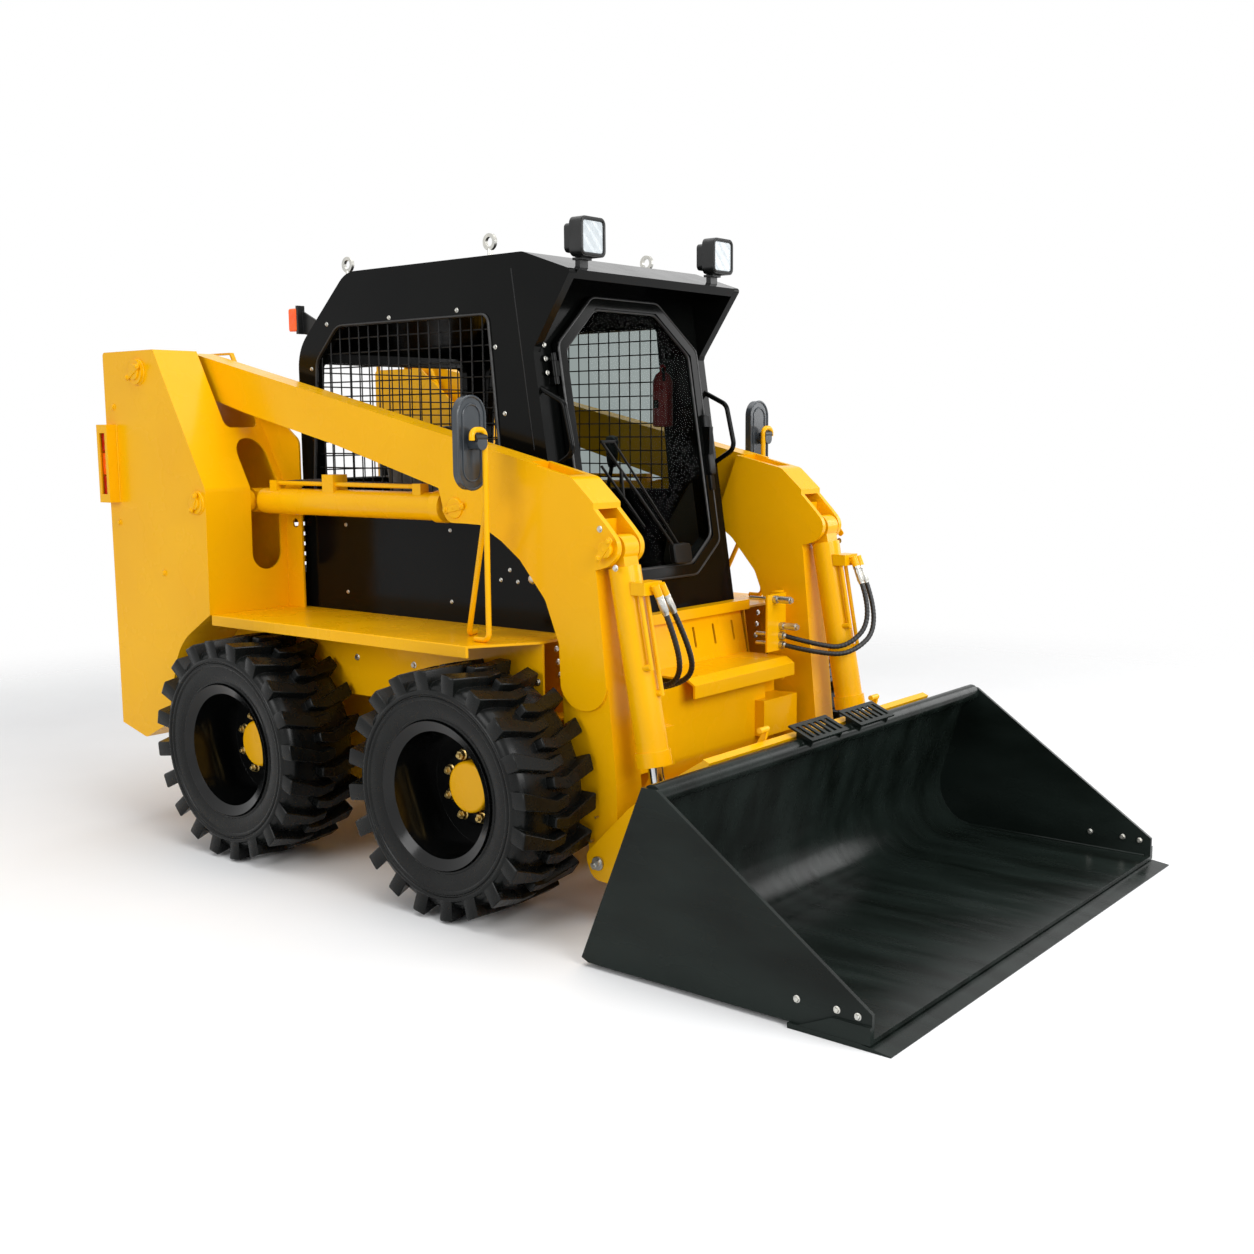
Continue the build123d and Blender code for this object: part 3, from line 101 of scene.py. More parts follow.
def place_camera():
    """A camera whose back axis points away from the machine at the azimuth and elevation."""
    back = np.array([math.sin(AZIMUTH) * math.cos(ELEVATION), -math.cos(AZIMUTH) * math.cos(ELEVATION),
                     math.sin(ELEVATION)])
    right = np.cross([0, 0, 1], back)
    right /= np.linalg.norm(right)
    up = np.cross(back, right)
    turned_right = right * math.cos(ROLL) + up * math.sin(ROLL)
    turned_up = up * math.cos(ROLL) - right * math.sin(ROLL)
    data = bpy.data.cameras.new("camera")
    data.sensor_width = 36.0
    data.lens = 41.6
    data.shift_x, data.shift_y = -0.0046, 0.0069
    data.clip_end = 200.0
    made = bpy.data.objects.new("camera", data)
    scene.collection.objects.link(made)
    axes = np.column_stack([turned_right, turned_up, back])
    matrix = mathutils.Matrix(axes.tolist()).to_4x4()
    matrix.translation = CAMERA_AT
    made.matrix_world = matrix
    return made


scene.camera = place_camera()
scene.view_settings.view_transform = "Standard"
print("camera", CAMERA_AT)

# %% [markdown]
# ## Shapes as arrays
# Nearly every part here is a profile carried along something: a wire, a weld, a gasket, a hose, a
# nut.  Modelling them by hand would be slow, and primitives would look like primitives.  A grid of
# points worked out at once by numpy, with one rule for its faces, covers them all.  A shape is a pair:
# its points, and blocks of faces with equally many corners.

# %% Grids and lofts
def grid_faces(rows, columns, wrap_rows=False, wrap_columns=False):
    """Quads of a grid of points: each joins a point, the next in its row and the two in the next row."""
    row, column = np.meshgrid(np.arange(rows if wrap_rows else rows - 1),
                              np.arange(columns if wrap_columns else columns - 1), indexing="ij")
    row, column = row.ravel(), column.ravel()
    row_after, column_after = (row + 1) % rows, (column + 1) % columns
    return np.column_stack([row * columns + column, row * columns + column_after,
                            row_after * columns + column_after, row_after * columns + column])


def lofted(rings, capped=True, wrap=False):
    """Rings of equally many points joined by quads, with flat faces over the two ends."""
    rings = np.asarray(rings, float)
    rows, columns = rings.shape[:2]
    blocks = [grid_faces(rows, columns, wrap, True)]
    if capped and not wrap:
        first = np.arange(columns)[None, ::-1]
        last = (np.arange(columns) + (rows - 1) * columns)[None]
        blocks += [first, last]
    return rings.reshape(-1, 3), blocks


def joined(*shapes):
    """Several shapes as one: their points stacked and their corner numbers moved on."""
    counts = np.cumsum([0] + [len(points) for points, blocks in shapes])
    blocks = [block + start for (points, own), start in zip(shapes, counts) for block in own]
    return np.concatenate([points for points, own in shapes]), blocks


def repeated(blocks, count, size):
    """The face blocks of a shape of a size in points, for a count of copies one after the other."""
    starts = (np.arange(count) * size)[:, None, None]
    return [(block[None] + starts).reshape(-1, block.shape[1]) for block in blocks]


def copies(shape, frames, places):
    """A shape repeated: each copy is turned so that its axes are a frame's columns, then moved to a place."""
    points, blocks = shape
    many = np.einsum("kij,pj->kpi", frames, points) + np.asarray(places, float)[:, None, :]
    return many.reshape(-1, 3), repeated(blocks, len(many), len(points))


def mirrored(shape):
    """The shape and its mirror image across the middle of the machine."""
    points, blocks = shape
    return joined(shape, (points * (-1, 1, 1), [block[:, ::-1] for block in blocks]))


# %% Outlines
def directions(outline):
    """Unit vectors along the side before and the side after each corner of a closed outline."""
    after = np.roll(outline, -1, 0) - outline
    after /= np.linalg.norm(after, axis=1)[:, None]
    return np.roll(after, 1, 0), after


def chamfered(outline, cut):
    """Each corner of an outline replaced by two points, a cut before and a cut after it."""
    outline = np.asarray(outline, float)
    before, after = directions(outline)
    return np.stack([outline - before * cut, outline + after * cut], 1).reshape(-1, outline.shape[1])


def softened(corners, reach, steps=5):
    """Each corner replaced by a curve: (1-t)^2 a + 2t(1-t) corner + t^2 b, with a and b a reach away."""
    corners = np.asarray(corners, float)
    before, after = directions(corners)
    t = np.linspace(0, 1, steps)[None, :, None]
    a, b = (corners - before * reach)[:, None], (corners + after * reach)[:, None]
    curve = (1 - t) ** 2 * a + 2 * t * (1 - t) * corners[:, None] + t ** 2 * b
    return curve.reshape(-1, corners.shape[1])


def inset(outline, distance):
    """Every side moved inwards: a corner moves by distance x (its two normals) / (1 + cos turn)."""
    outline = np.asarray(outline, float)
    before, after = directions(outline)
    following = np.roll(outline, -1, 0)
    sense = np.sign(np.sum(outline[:, 0] * following[:, 1] - following[:, 0] * outline[:, 1]))
    inward = np.column_stack([-before[:, 1] - after[:, 1], before[:, 0] + after[:, 0]])
    return outline + sense * distance * inward / (1 + (before * after).sum(1))[:, None]


def plate(outline, low, high, axis, edge=1.5):
    """A flat piece across an axis, with an outline in the other two and edges broken by 45 degrees."""
    layers = []
    for along, step in ((low, edge), (low + edge, 0.0), (high - edge, 0.0), (high, edge)):
        flat = inset(outline, step)
        layers.append(np.insert(flat, axis, along, axis=1))
    return lofted(layers)


def rectangle(low, high):
    """The four corners of a rectangle."""
    return [(low[0], low[1]), (high[0], low[1]), (high[0], high[1]), (low[0], high[1])]


# %% Turned and carried shapes
def facing(normals):
    """Frames whose third column is each normal; the first lies level."""
    z = np.atleast_2d(np.asarray(normals, float))
    z = z / np.linalg.norm(z, axis=1)[:, None]
    level = np.where(np.abs(z[:, 2:]) > 0.95, [[1.0, 0.0, 0.0]], [[0.0, 0.0, 1.0]])
    x = np.cross(level, z)
    x /= np.linalg.norm(x, axis=1)[:, None]
    return np.stack([x, np.cross(z, x), z], axis=2)


def turned(profile, count=40, axis=2, centre=(0, 0, 0), wrap=False):
    """A profile of (along, radius) turned about an axis: at turn t, radius x (cos t, sin t)."""
    profile = np.asarray(profile, float)
    t = np.linspace(0, 2 * np.pi, count, endpoint=False)
    along = np.repeat(profile[:, :1], count, 1)
    rings = np.stack([profile[:, 1:] * np.cos(t), profile[:, 1:] * np.sin(t), along], axis=2)
    return lofted(np.roll(rings, axis + 1, axis=2) + np.asarray(centre, float), True, wrap)


def carried(path, section, wrap=False):
    """A section carried along a path.  The path's least used direction keeps the section from twisting.

    The section is (columns, 2), or (rows, columns, 2) where it changes on the way.
    """
    path = np.asarray(path, float)
    ahead = np.roll(path, -1, 0) - np.roll(path, 1, 0) if wrap else np.gradient(path, axis=0)
    ahead /= np.linalg.norm(ahead, axis=1)[:, None]
    least = np.linalg.svd(ahead)[2][-1]
    side = np.cross(ahead, least)
    side /= np.linalg.norm(side, axis=1)[:, None]
    up = np.cross(side, ahead)
    section = np.broadcast_to(section, (len(path),) + np.shape(section)[-2:])
    rings = (path[:, None] + section[..., :1] * side[:, None] + section[..., 1:] * up[:, None])
    return lofted(rings, True, wrap)


def circle(radius, count=12):
    """Points round a circle."""
    t = np.linspace(0, 2 * np.pi, count, endpoint=False)
    return radius * np.column_stack([np.cos(t), np.sin(t)])


def bars(starts, ends, radius, sides=8):
    """Straight round bars between pairs of points, closed at both ends."""
    starts, ends = np.atleast_2d(np.asarray(starts, float)), np.atleast_2d(np.asarray(ends, float))
    ring = np.column_stack([circle(radius, sides), np.zeros(sides)])
    around = np.einsum("kij,pj->kpi", facing(ends - starts), ring)
    rings = np.stack([starts[:, None] + around, ends[:, None] + around], axis=1)
    points, blocks = lofted(rings[0])
    return rings.reshape(-1, 3), repeated(blocks, len(rings), len(points))


# %% A shape becomes a piece
made_pieces = []
SIDES = (("left", 1), ("right", -1))


def piece(name, shape, material, body, slot=None, smooth=34):
    """A mesh object from a shape in millimetres, its doubles merged and its faces turned outwards.

    The slot argument is not used; the mesh gets the finish that is given.
    """
    slot = slot or OWN_SLOT[material.name]
    points, blocks = shape
    mesh = bpy.data.meshes.new(name)
    mesh.from_pydata(mm(points).tolist(), [], [face for block in blocks for face in block.tolist()])
    work = bmesh.new()
    work.from_mesh(mesh)
    bmesh.ops.remove_doubles(work, verts=work.verts, dist=1e-6)
    bmesh.ops.recalc_face_normals(work, faces=work.faces)
    work.to_mesh(mesh)
    work.free()
    mesh.polygons.foreach_set("use_smooth", np.ones(len(mesh.polygons), bool))
    mesh.set_sharp_from_angle(angle=math.radians(smooth))
    mesh.materials.append(material)
    made = bpy.data.objects.new(name, mesh)
    scene.collection.objects.link(made)
    if body:
        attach(made, body)
    made_pieces.append(name)
    return made


# %% [markdown]
# ## Materials
# Each finish is named for the real one.  They share one recipe: a colour that wanders between two
# close tones over patches of a size, a roughness that wanders too, and a fine grain as relief.  Sizes
# are millimetres in object space, so a pattern keeps its scale on every part.

# %% Colours and nodes
def linear(hex_colour):
    """sRGB hex to linear RGBA: c / 12.92 below 0.04045, else ((c + 0.055) / 1.055) to the power 2.4."""
    values = [int(hex_colour[i:i + 2], 16) / 255 for i in (1, 3, 5)]
    return [v / 12.92 if v <= 0.04045 else ((v + 0.055) / 1.055) ** 2.4 for v in values] + [1.0]


def add(tree, kind, inputs=(), **settings):
    """A new node: settings are its own properties, inputs its sockets, each a value or an output to link."""
    made = tree.nodes.new(kind)
    for name, value in settings.items():
        setattr(made, name, value)
    for name, value in dict(inputs).items():
        if isinstance(value, bpy.types.NodeSocket):
            tree.links.new(value, made.inputs[name])
        else:
            made.inputs[name].default_value = value
    return made


def finish(name, tones, rough, patch=220, grain=5.0, relief=0.03, edge=1.2, stretch=(1, 1, 1), **gloss):
    """A material: two tones over patches (mm), a wandering roughness, a grain (mm) of a relief (mm).

    edge is the radius in millimetres by which the light rounds a sharp edge; stretch squeezes the
    patches along x, y and z; gloss holds constant values of the shader's own sockets.
    """
    material = bpy.data.materials.new(name)
    material.use_nodes = True
    tree = material.node_tree
    shader = tree.nodes["Principled BSDF"]
    place = add(tree, "ShaderNodeTexCoord").outputs["Object"]
    pulled = add(tree, "ShaderNodeMapping", {"Vector": place, "Scale": stretch}).outputs["Vector"]
    patches = add(tree, "ShaderNodeTexNoise", {"Vector": pulled, "Scale": 1000 / patch, "Detail": 5.0})
    share = add(tree, "ShaderNodeMapRange",
                {"Value": patches.outputs["Fac"], "From Min": 0.35, "From Max": 0.65})
    tone = add(tree, "ShaderNodeMix", {"Factor": share.outputs["Result"], "A": linear(tones[0]),
                                       "B": linear(tones[1])}, data_type="RGBA")
    tree.links.new(tone.outputs["Result"], shader.inputs["Base Color"])
    wear = add(tree, "ShaderNodeTexNoise", {"Vector": pulled, "Scale": 2600 / patch, "Detail": 3.0})
    shine = add(tree, "ShaderNodeMapRange", {"Value": wear.outputs["Fac"], "From Min": 0.3, "From Max": 0.7,
                                             "To Min": rough * 0.8, "To Max": rough * 1.25})
    tree.links.new(shine.outputs["Result"], shader.inputs["Roughness"])
    skin = add(tree, "ShaderNodeTexNoise", {"Vector": place, "Scale": 1000 / grain, "Detail": 2.0})
    soft = add(tree, "ShaderNodeBevel", {"Radius": edge / 1000}, samples=4)
    bump = add(tree, "ShaderNodeBump", {"Height": skin.outputs["Fac"], "Distance": relief / 1000,
                                        "Normal": soft.outputs["Normal"]})
    tree.links.new(bump.outputs["Normal"], shader.inputs["Normal"])
    for socket, value in gloss.items():
        shader.inputs[socket.replace("_", " ").replace("Ior", "IOR")].default_value = value
    return material


# %% [markdown]
# ## Enamels
# The frame is sprayed with warm yellow two-pack enamel: an even, fairly glossy film with faint orange
# peel.  The cab and the bucket are gloss black.  A black surface shows only what it mirrors, so its
# gloss is kept low and its reflections soft, or the white room would turn it grey.

# %% Enamels
YELLOW = finish("loader_yellow_enamel", ("#F2B404", "#EFAF02"), 0.26, patch=420, grain=7, relief=0.02,
                Specular_Ior_Level=0.16, Coat_Weight=0.08, Coat_Roughness=0.06)
# gloss black over smooth sheet: deep, with a soft mirror of the room
BLACK = finish("cab_gloss_black_enamel", ("#070808", "#0B0C0B"), 0.14, patch=300, grain=9, relief=0.012,
               Specular_Ior_Level=0.10)
# the hood and small brackets: satin, so edges show as thin pale lines
SATIN = finish("satin_black_enamel", ("#0D0E0E", "#131414"), 0.34, Specular_Ior_Level=0.16)
RIM = finish("rim_gloss_black_enamel", ("#060707", "#0A0B0B"), 0.13, patch=160, relief=0.015,
             Specular_Ior_Level=0.3)
# rough castings: axle tubes and the engine block
CAST = finish("cast_black_enamel", ("#121212", "#1B1B1A"), 0.5, grain=4, relief=0.12,
              Specular_Ior_Level=0.2)
# welded mesh dipped in black plastic
MESH = finish("dipped_black_mesh_coat", ("#080808", "#0D0D0D"), 0.34, patch=60, Specular_Ior_Level=0.18)
# the bucket: black with a green-grey cast, dusty and scuffed along the way that the load slides
BUCKET = finish("bucket_black_enamel", ("#0C110E", "#1A211E"), 0.24, patch=330, grain=5, relief=0.03,
                stretch=(3.2, 0.55, 1.6), Specular_Ior_Level=0.14)
print("enamels made")

# %% [markdown]
# ## Rubber, plastic and metal
# Tyres are dressed with a shiny black coat before a machine is sold, so their blocks catch pale
# highlights.  Hoses, mats and mouldings are duller.  Bolts are zinc plated, wheel nuts carry a yellow
# passivation, and the cylinder rods are ground hard chrome.

# %% Rubber and plastic
RUBBER = finish("dressed_tyre_rubber", ("#090A0A", "#101211"), 0.27, patch=90, grain=3.2, relief=0.05,
                Specular_Ior_Level=0.19)
HOSE = finish("hydraulic_hose_rubber", ("#0B0B0B", "#141414"), 0.42, patch=40, grain=2.0, relief=0.05)
MAT = finish("floor_mat_rubber", ("#17181A", "#202124"), 0.7, patch=120, grain=3.0, relief=0.2)
VINYL = finish("seat_vinyl", ("#463B30", "#52463A"), 0.48, patch=140, grain=2.6, relief=0.12, edge=2.0)
NYLON = finish("moulded_black_nylon", ("#0E0F0F", "#151616"), 0.38, patch=80, grain=2.2, relief=0.05,
               Specular_Ior_Level=0.4)
MIRROR_BACK = finish("mirror_back_plastic", ("#30353A", "#3B4146"), 0.2, patch=120, relief=0.02)
TRIM = finish("cab_trim_board", ("#5A5044", "#665B4E"), 0.55, patch=160, grain=3.0, relief=0.1)
SIGNAL_RED = finish("signal_red_enamel", ("#8E1210", "#A01512"), 0.3, patch=90)

# %% Metals
ZINC = finish("zinc_plated_steel", ("#B9B9B4", "#CAC8C0"), 0.32, patch=30, grain=2.5, relief=0.02,
              edge=0.5, Metallic=1.0)
BRASSY = finish("yellow_passivated_zinc", ("#B79A56", "#C9B27A"), 0.30, patch=26, grain=2.5, relief=0.02,
                edge=0.5, Metallic=1.0)
CHROME = finish("ground_hard_chrome", ("#BFC1C3", "#CDCFD1"), 0.13, patch=60, grain=2.0, relief=0.004,
                edge=0.5, Metallic=1.0)
SILVERED = finish("silvered_mirror_glass", ("#DADDDF", "#E2E4E6"), 0.03, patch=200, grain=40, relief=0.002,
                  edge=0.3, Metallic=1.0)

# %% [markdown]
# ## Glass and lenses
# Safety glass is tinted, thin and flat, so nearly all light goes straight through.  It is made as a
# transmitting solid with a grey-green tint and a low index, because a plain alpha left a speckle of
# white reflections over the dark cab and the true index made it milky.  Lenses are ribbed by a wave.

# %% Glass and lenses
GLASS = finish("tinted_safety_glass", ("#8C9694", "#969F9D"), 0.002, patch=500, grain=60, relief=0.0,
               edge=0.1, Transmission_Weight=1.0, Ior=1.04)


# about a full turn, in radians
TURN = 6.283


def lens(name, tones, glow, flutes=9.0):
    """Ribbed lens plastic with a little own light.

    Its relief is a diagonal wave: a rib each time that x + y + z grows by about 4 x flutes, in mm.
    """
    material = finish(name, tones, 0.14, patch=40, relief=0.01)
    tree = material.node_tree
    shader = tree.nodes["Principled BSDF"]
    place = add(tree, "ShaderNodeTexCoord").outputs["Object"]
    ribs = add(tree, "ShaderNodeTexWave", {"Vector": place, "Scale": 1000 / flutes / TURN, "Distortion": 0.0},
               bands_direction="DIAGONAL")
    bump = add(tree, "ShaderNodeBump", {"Height": ribs.outputs["Fac"], "Distance": 0.0006})
    tree.links.new(bump.outputs["Normal"], shader.inputs["Normal"])
    shader.inputs["Emission Color"].default_value = linear(tones[0])
    shader.inputs["Emission Strength"].default_value = glow
    return material


RED_LENS = lens("tail_lens_red", ("#A8100A", "#B8140C"), 0.12)
AMBER_LENS = lens("tail_lens_amber", ("#E8500A", "#F2600C"), 0.18)
CLEAR_LENS = lens("lamp_lens_clear", ("#B9C1C5", "#CBD1D4"), 0.05, 12.0)

# %% Finishes of the CAD nodes
FINISH = {
    "loader_yellow": YELLOW, "cab_black": BLACK, "rim_black": RIM, "engine_hood_black": SATIN,
    "cast_black": CAST, "tyre_rubber": RUBBER, "hose_rubber": HOSE, "floor_rubber": MAT,
    "seat_vinyl": VINYL, "lamp_black": NYLON, "mirror_grey": MIRROR_BACK, "zinc_steel": ZINC,
    "rod_chrome": CHROME, "bucket_black": BUCKET, "tinted_glass": GLASS, "tail_lamp_red": RED_LENS,
    "cab_mesh": MESH}
OWN_SLOT = {material.name: slot for slot, material in FINISH.items()}
for part in frame["record"]["subparts"]:
    mesh = frame["nodes"][part["node"]].data
    mesh.materials.clear()
    mesh.materials.append(FINISH[part["material_slot"]])
# the pins are painted with the frame, as they are fitted before it is sprayed
for node in ("tilt_pins", "upright_pins", "hinge_pins"):
    frame["nodes"][node].data.materials[0] = YELLOW

# %% [markdown]
# ## Tyres
# A skid steer tyre is a squat carcass with deep chevron blocks that run from the shoulder to just past
# the middle, the two halves half a pitch apart.  A displacement texture would make them soft; real
# ones are crisp.  So the carcass is a turned profile, and each block is a loft of one six-cornered
# outline: wide at its foot, with broken edges at its top, which follows the tyre's curve.

# %% Tyre carcass and blocks
TREAD_R = 399.4
LUGS_PER_SIDE = 20
LUG_TURN = math.radians(4.9)
# half a section from the middle of the tread to the bead: across, radius
CARCASS = np.array([
    (0, 368), (70, 367), (112, 364), (134, 357), (144, 345), (147, 336), (151, 333), (154, 329),
    (154.5, 324), (153, 320), (149, 317.5), (148.5, 314), (151.5, 311.5), (152.5, 307), (151, 303),
    (148, 300), (148, 286), (146, 268), (141, 249), (143.5, 246), (143, 241), (139, 238),
    (133, 226), (127, 216), (124, 211.5)])
# one block: across from the middle of the tyre, ahead round the tyre
LUG_OUTLINE = chamfered([(160, -38), (160, 14), (30, 46), (-28, 34), (-28, 2), (26, 12)], 3.5)


def tread_blocks(side, shift):
    """Blocks of one half: x = side x across, and y and z = r x (cos, sin)(turn + ahead / R)."""
    turns = ((np.arange(LUGS_PER_SIDE) + shift) * 2 * np.pi / LUGS_PER_SIDE - LUG_TURN)[:, None, None]
    rings = []
    for outset, depth in ((6.5, 46.0), (1.8, 5.0), (0.4, 1.3), (-1.2, 0.0)):
        flat = inset(LUG_OUTLINE, -outset)
        across, ahead = flat[:, 0], flat[:, 1]
        radius = TREAD_R - depth - 0.22 * np.maximum(across - 136, 0)
        if depth > 40:
            radius = np.where(across > 136, 316.0, radius)
            across = np.minimum(across, 148.0)
        rings.append(np.column_stack([across, ahead, radius]))
    across, ahead, radius = np.moveaxis(np.array(rings), 2, 0)
    angle = turns + ahead / TREAD_R
    points = np.stack([np.broadcast_to(side * across, angle.shape), radius * np.cos(angle),
                       radius * np.sin(angle)], axis=3)
    one, blocks = lofted(points[0])
    return points.reshape(-1, 3), repeated(blocks, LUGS_PER_SIDE, len(one))


section = np.concatenate([CARCASS, (CARCASS * (-1, 1))[:0:-1]])
tyre = joined(turned(section, 120, axis=0, wrap=True), tread_blocks(1, 0.0), tread_blocks(-1, 0.5))

# %% [markdown]
# ## Wheel nuts
# Eight nuts with flanges hold each rim to its hub, on studs whose ends stand out.  They are small but
# bright, and they give a wheel its scale.  One nut is lofted, then copied round the stud circle.  The
# nuts sit on a raised ring pressed into the disc, which is turned from a closed profile.

# %% Nuts and valve
DISC_X = -52.0
SEAT_X = -16.0
STUD_CIRCLE = 105.0


def hexagon(across_flats, low, high):
    """A hexagonal prism on the z axis whose top edge is turned down."""
    corner = across_flats / math.sqrt(3)
    rings = [np.column_stack([circle(r, 6), np.full(6, z)])
             for z, r in ((low, corner), (high - 1.6, corner), (high, corner * 0.9))]
    return lofted(rings)


nut = joined(turned([(0, 19), (2.5, 19), (4, 16.5)], 24), hexagon(27, 3, 17),
             turned([(16, 7.5), (25, 7.5), (26.5, 6)], 12))
turns = np.arange(8) * np.pi / 4 + np.pi / 8
nut_places = np.column_stack([np.full(8, SEAT_X), STUD_CIRCLE * np.cos(turns), STUD_CIRCLE * np.sin(turns)])
nuts = copies(nut, facing([(1, 0, 0)] * 8), nut_places)
SEAT_RING = [(DISC_X, 88), (SEAT_X - 5, 87), (SEAT_X, 90), (SEAT_X, 121), (SEAT_X - 5, 126), (DISC_X, 134)]
seat = turned(SEAT_RING, 64, axis=0, wrap=True)
valve = bars([(DISC_X, 0, 150)], [(DISC_X + 34, 0, 156)], 4.5, 10)
for end in ("front", "rear"):
    for side, sign in SIDES:
        wheel = f"{end}_{side}"
        centre = 1000 * (middle("tyre_" + wheel) - (0, SHIFT, 0))
        for name, shape, material, slot in (
                ("tyre_tread_", tyre, RUBBER, "tyre_rubber"), ("wheel_nuts_", nuts, BRASSY, "zinc_steel"),
                ("nut_seat_", seat, RIM, "rim_black"), ("tyre_valve_", valve, NYLON, "hose_rubber")):
            points, blocks = shape
            made = piece(name + wheel, (points * (sign, 1, 1) + centre, blocks), material,
                         "wheel_" + wheel, slot)
            if name == "tyre_tread_":
                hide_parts("tyre_" + wheel)
print("tyre", len(tyre[0]), "points, blocks", 2 * LUGS_PER_SIDE)

# %% [markdown]
# ## Hydraulic hoses
# Two hoses leave each tilt cylinder's manifold and one leaves each lift cylinder's pipe.  They are
# fixed lengths of stiff wire-braided hose with a spiral guard.  A curve with a round bevel would be
# quick, but it cannot carry the guard's ridge, so the smooth line of a NURBS spline is read back and
# a ridged section is carried along it.  Each hose is baked where it lies and is joined to no body.

# %% Hose routes
HOSE_RADIUS, RIDGE = 9.4, 0.9
RIDGE_PITCH = 0.013  # in metres, as the way along a hose is
ELBOW_Y, ELBOW_Z = -1109.09, 1048.0
TILT_X = 585.0
FERRULE_LOW, FERRULE_HIGH = 24.0, 90.0
COUPLING_STUB = 8.0


def aimed(start, target, reach):
    """The point a reach away from a start, towards a target."""
    start, target = np.array(start, float), np.array(target, float)
    return start + (target - start) / np.linalg.norm(target - start) * reach


# side, letter, the elbow's x from the cylinder's middle, the route's corners, and the nut that it ends on
TILT_ROUTES = (
    ("right", "a", 6.0, [(-494, -1130, 858), (-446, -1098, 752), (-430, -1004, 712), (-443, -892, 735),
                         (-507.5, -850, 812)], None),
    ("right", "b", 38.0, [(-446, -1132, 864), (-384, -1106, 760), (-368, -1000, 706), (-410, -878, 692),
                          (-507.5, -835, 745)], None),
    ("left", "a", 6.0, [(597, -1188, 838), (512, -1130, 735), (454, -1030, 749)], (414, -924, 776)),
    ("left", "b", 38.0, [(632, -1200, 812), (508, -1150, 712), (441, -1028, 722)], (414, -924, 742)))


def smooth_line(name, points):
    """The line of a NURBS spline of order 3 whose control points are the route's, in millimetres."""
    curve = bpy.data.curves.new(name, "CURVE")
    curve.dimensions = "3D"
    spline = curve.splines.new("NURBS")
    spline.points.add(len(points) - 1)
    spline.points.foreach_set("co", np.column_stack([mm(points), np.ones(len(points))]).ravel())
    spline.order_u = 3
    spline.use_endpoint_u = True
    spline.resolution_u = 60
    holder = bpy.data.objects.new(name, curve)
    scene.collection.objects.link(holder)
    bpy.context.view_layer.update()
    mesh = bpy.data.meshes.new_from_object(holder)
    line = np.empty(3 * len(mesh.vertices))
    mesh.vertices.foreach_get("co", line)
    bpy.data.objects.remove(holder)
    bpy.data.meshes.remove(mesh)
    return line.reshape(-1, 3)


def hose(name, points, node):
    """A hose with a spiral guard: its radius rises by a ridge that goes once round each 13 mm of the way."""
    line = smooth_line(name + "_line", points)
    way = np.concatenate([[0], np.cumsum(np.linalg.norm(np.diff(line, axis=0), axis=1))])
    around = np.linspace(0, 2 * np.pi, 20, endpoint=False)
    phase = around[None] - 2 * np.pi * way[:, None] / RIDGE_PITCH
    radius = HOSE_RADIUS - RIDGE + RIDGE * (0.5 + 0.5 * np.cos(phase)) ** 2
    section = np.stack([radius * np.cos(around), radius * np.sin(around)], axis=2)
    shape = carried(1000 * line - (0, 1000 * SHIFT, 0), section)
    made = piece(name, shape, HOSE, None, smooth=60)
    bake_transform(made)
    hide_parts(node)
    print(name, "length", round(way[-1] * 1000), "mm")
    return made


# %% Tilt hoses and their crimped ferrules
CRIMP = np.array([(0, 12.5), (3, 13), (10, 13), (11, 11.2), (16, 12.6), (54, 12.6), (58, 11.0), (66, 10.6)])
crimps = {"left": [], "right": []}
for side, letter, outlet, corners, nut_face in TILT_ROUTES:
    sign = 1 if side == "left" else -1
    elbow = (sign * TILT_X + outlet, ELBOW_Y, ELBOW_Z)
    route = [aimed(elbow, corners[0], FERRULE_HIGH)] + corners
    if nut_face:
        route.append(aimed(nut_face, corners[-1], COUPLING_STUB))
    hose(f"tilt_hose_{letter}_{side}_spiral", route, f"tilt_hose_{side}_{letter}")
    # the crimp has eight flats: the radius dips where the cosine of eight turns is high
    ring = circle(1.0, 32)
    flats = np.cos(8 * np.arctan2(ring[:, 1], ring[:, 0]))
    dip = np.where(np.abs(CRIMP[:, 0] - 35) < 24, 0.035, 0.0)[:, None] * flats
    section = ring[None] * (CRIMP[:, 1:] * (1 - dip))[..., None]
    stations = np.array([aimed(elbow, corners[0], FERRULE_LOW + at) for at in CRIMP[:, 0]])
    crimps[side].append(carried(stations, section))
for side, shapes in crimps.items():
    made = piece("ferrule_crimps_" + side, joined(*shapes), ZINC, "tilt_barrel_" + side, smooth=40)
    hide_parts("hose_ferrules_" + side)

# %% Lift hoses
for side, sign in SIDES:
    route = [(sign * 580.5, 360, 1344), (sign * 580.5, 540, 1344), (sign * 584.5, 716, 1326)]
    hose(f"lift_hose_{side}_spiral", route, "lift_hose_" + side)

# %% [markdown]
# ## Cab mesh and gaskets
# The side and rear windows are guarded by welded mesh: 5 mm round wires 52 mm apart, one layer lying
# on the other.  The ends are buried in the walls, as the real mesh is clamped in a channel.  A soft
# black gasket follows each opening.

# %% Welded mesh
PITCH, WIRE = 52.0, 2.5
MESH_X = 453.0


def places(low, high):
    """Evenly pitched places between two edges."""
    count = int((high - low) / PITCH)
    return (low + high - (count - 1) * PITCH) / 2 + PITCH * np.arange(count)


def wires(first, second, level, spans, axis):
    """Two layers of wires across an axis: one lies at the second places, the other at the first ones."""
    layers = []
    for at, span, depth, turned_way in ((second, spans[0], level[0], 1), (first, spans[1], level[1], -1)):
        ends = [np.column_stack([np.full(len(at), end), at])[:, ::turned_way] for end in span]
        layers.append(bars(*(np.insert(end, axis, depth, 1) for end in ends), WIRE))
    return joined(*layers)


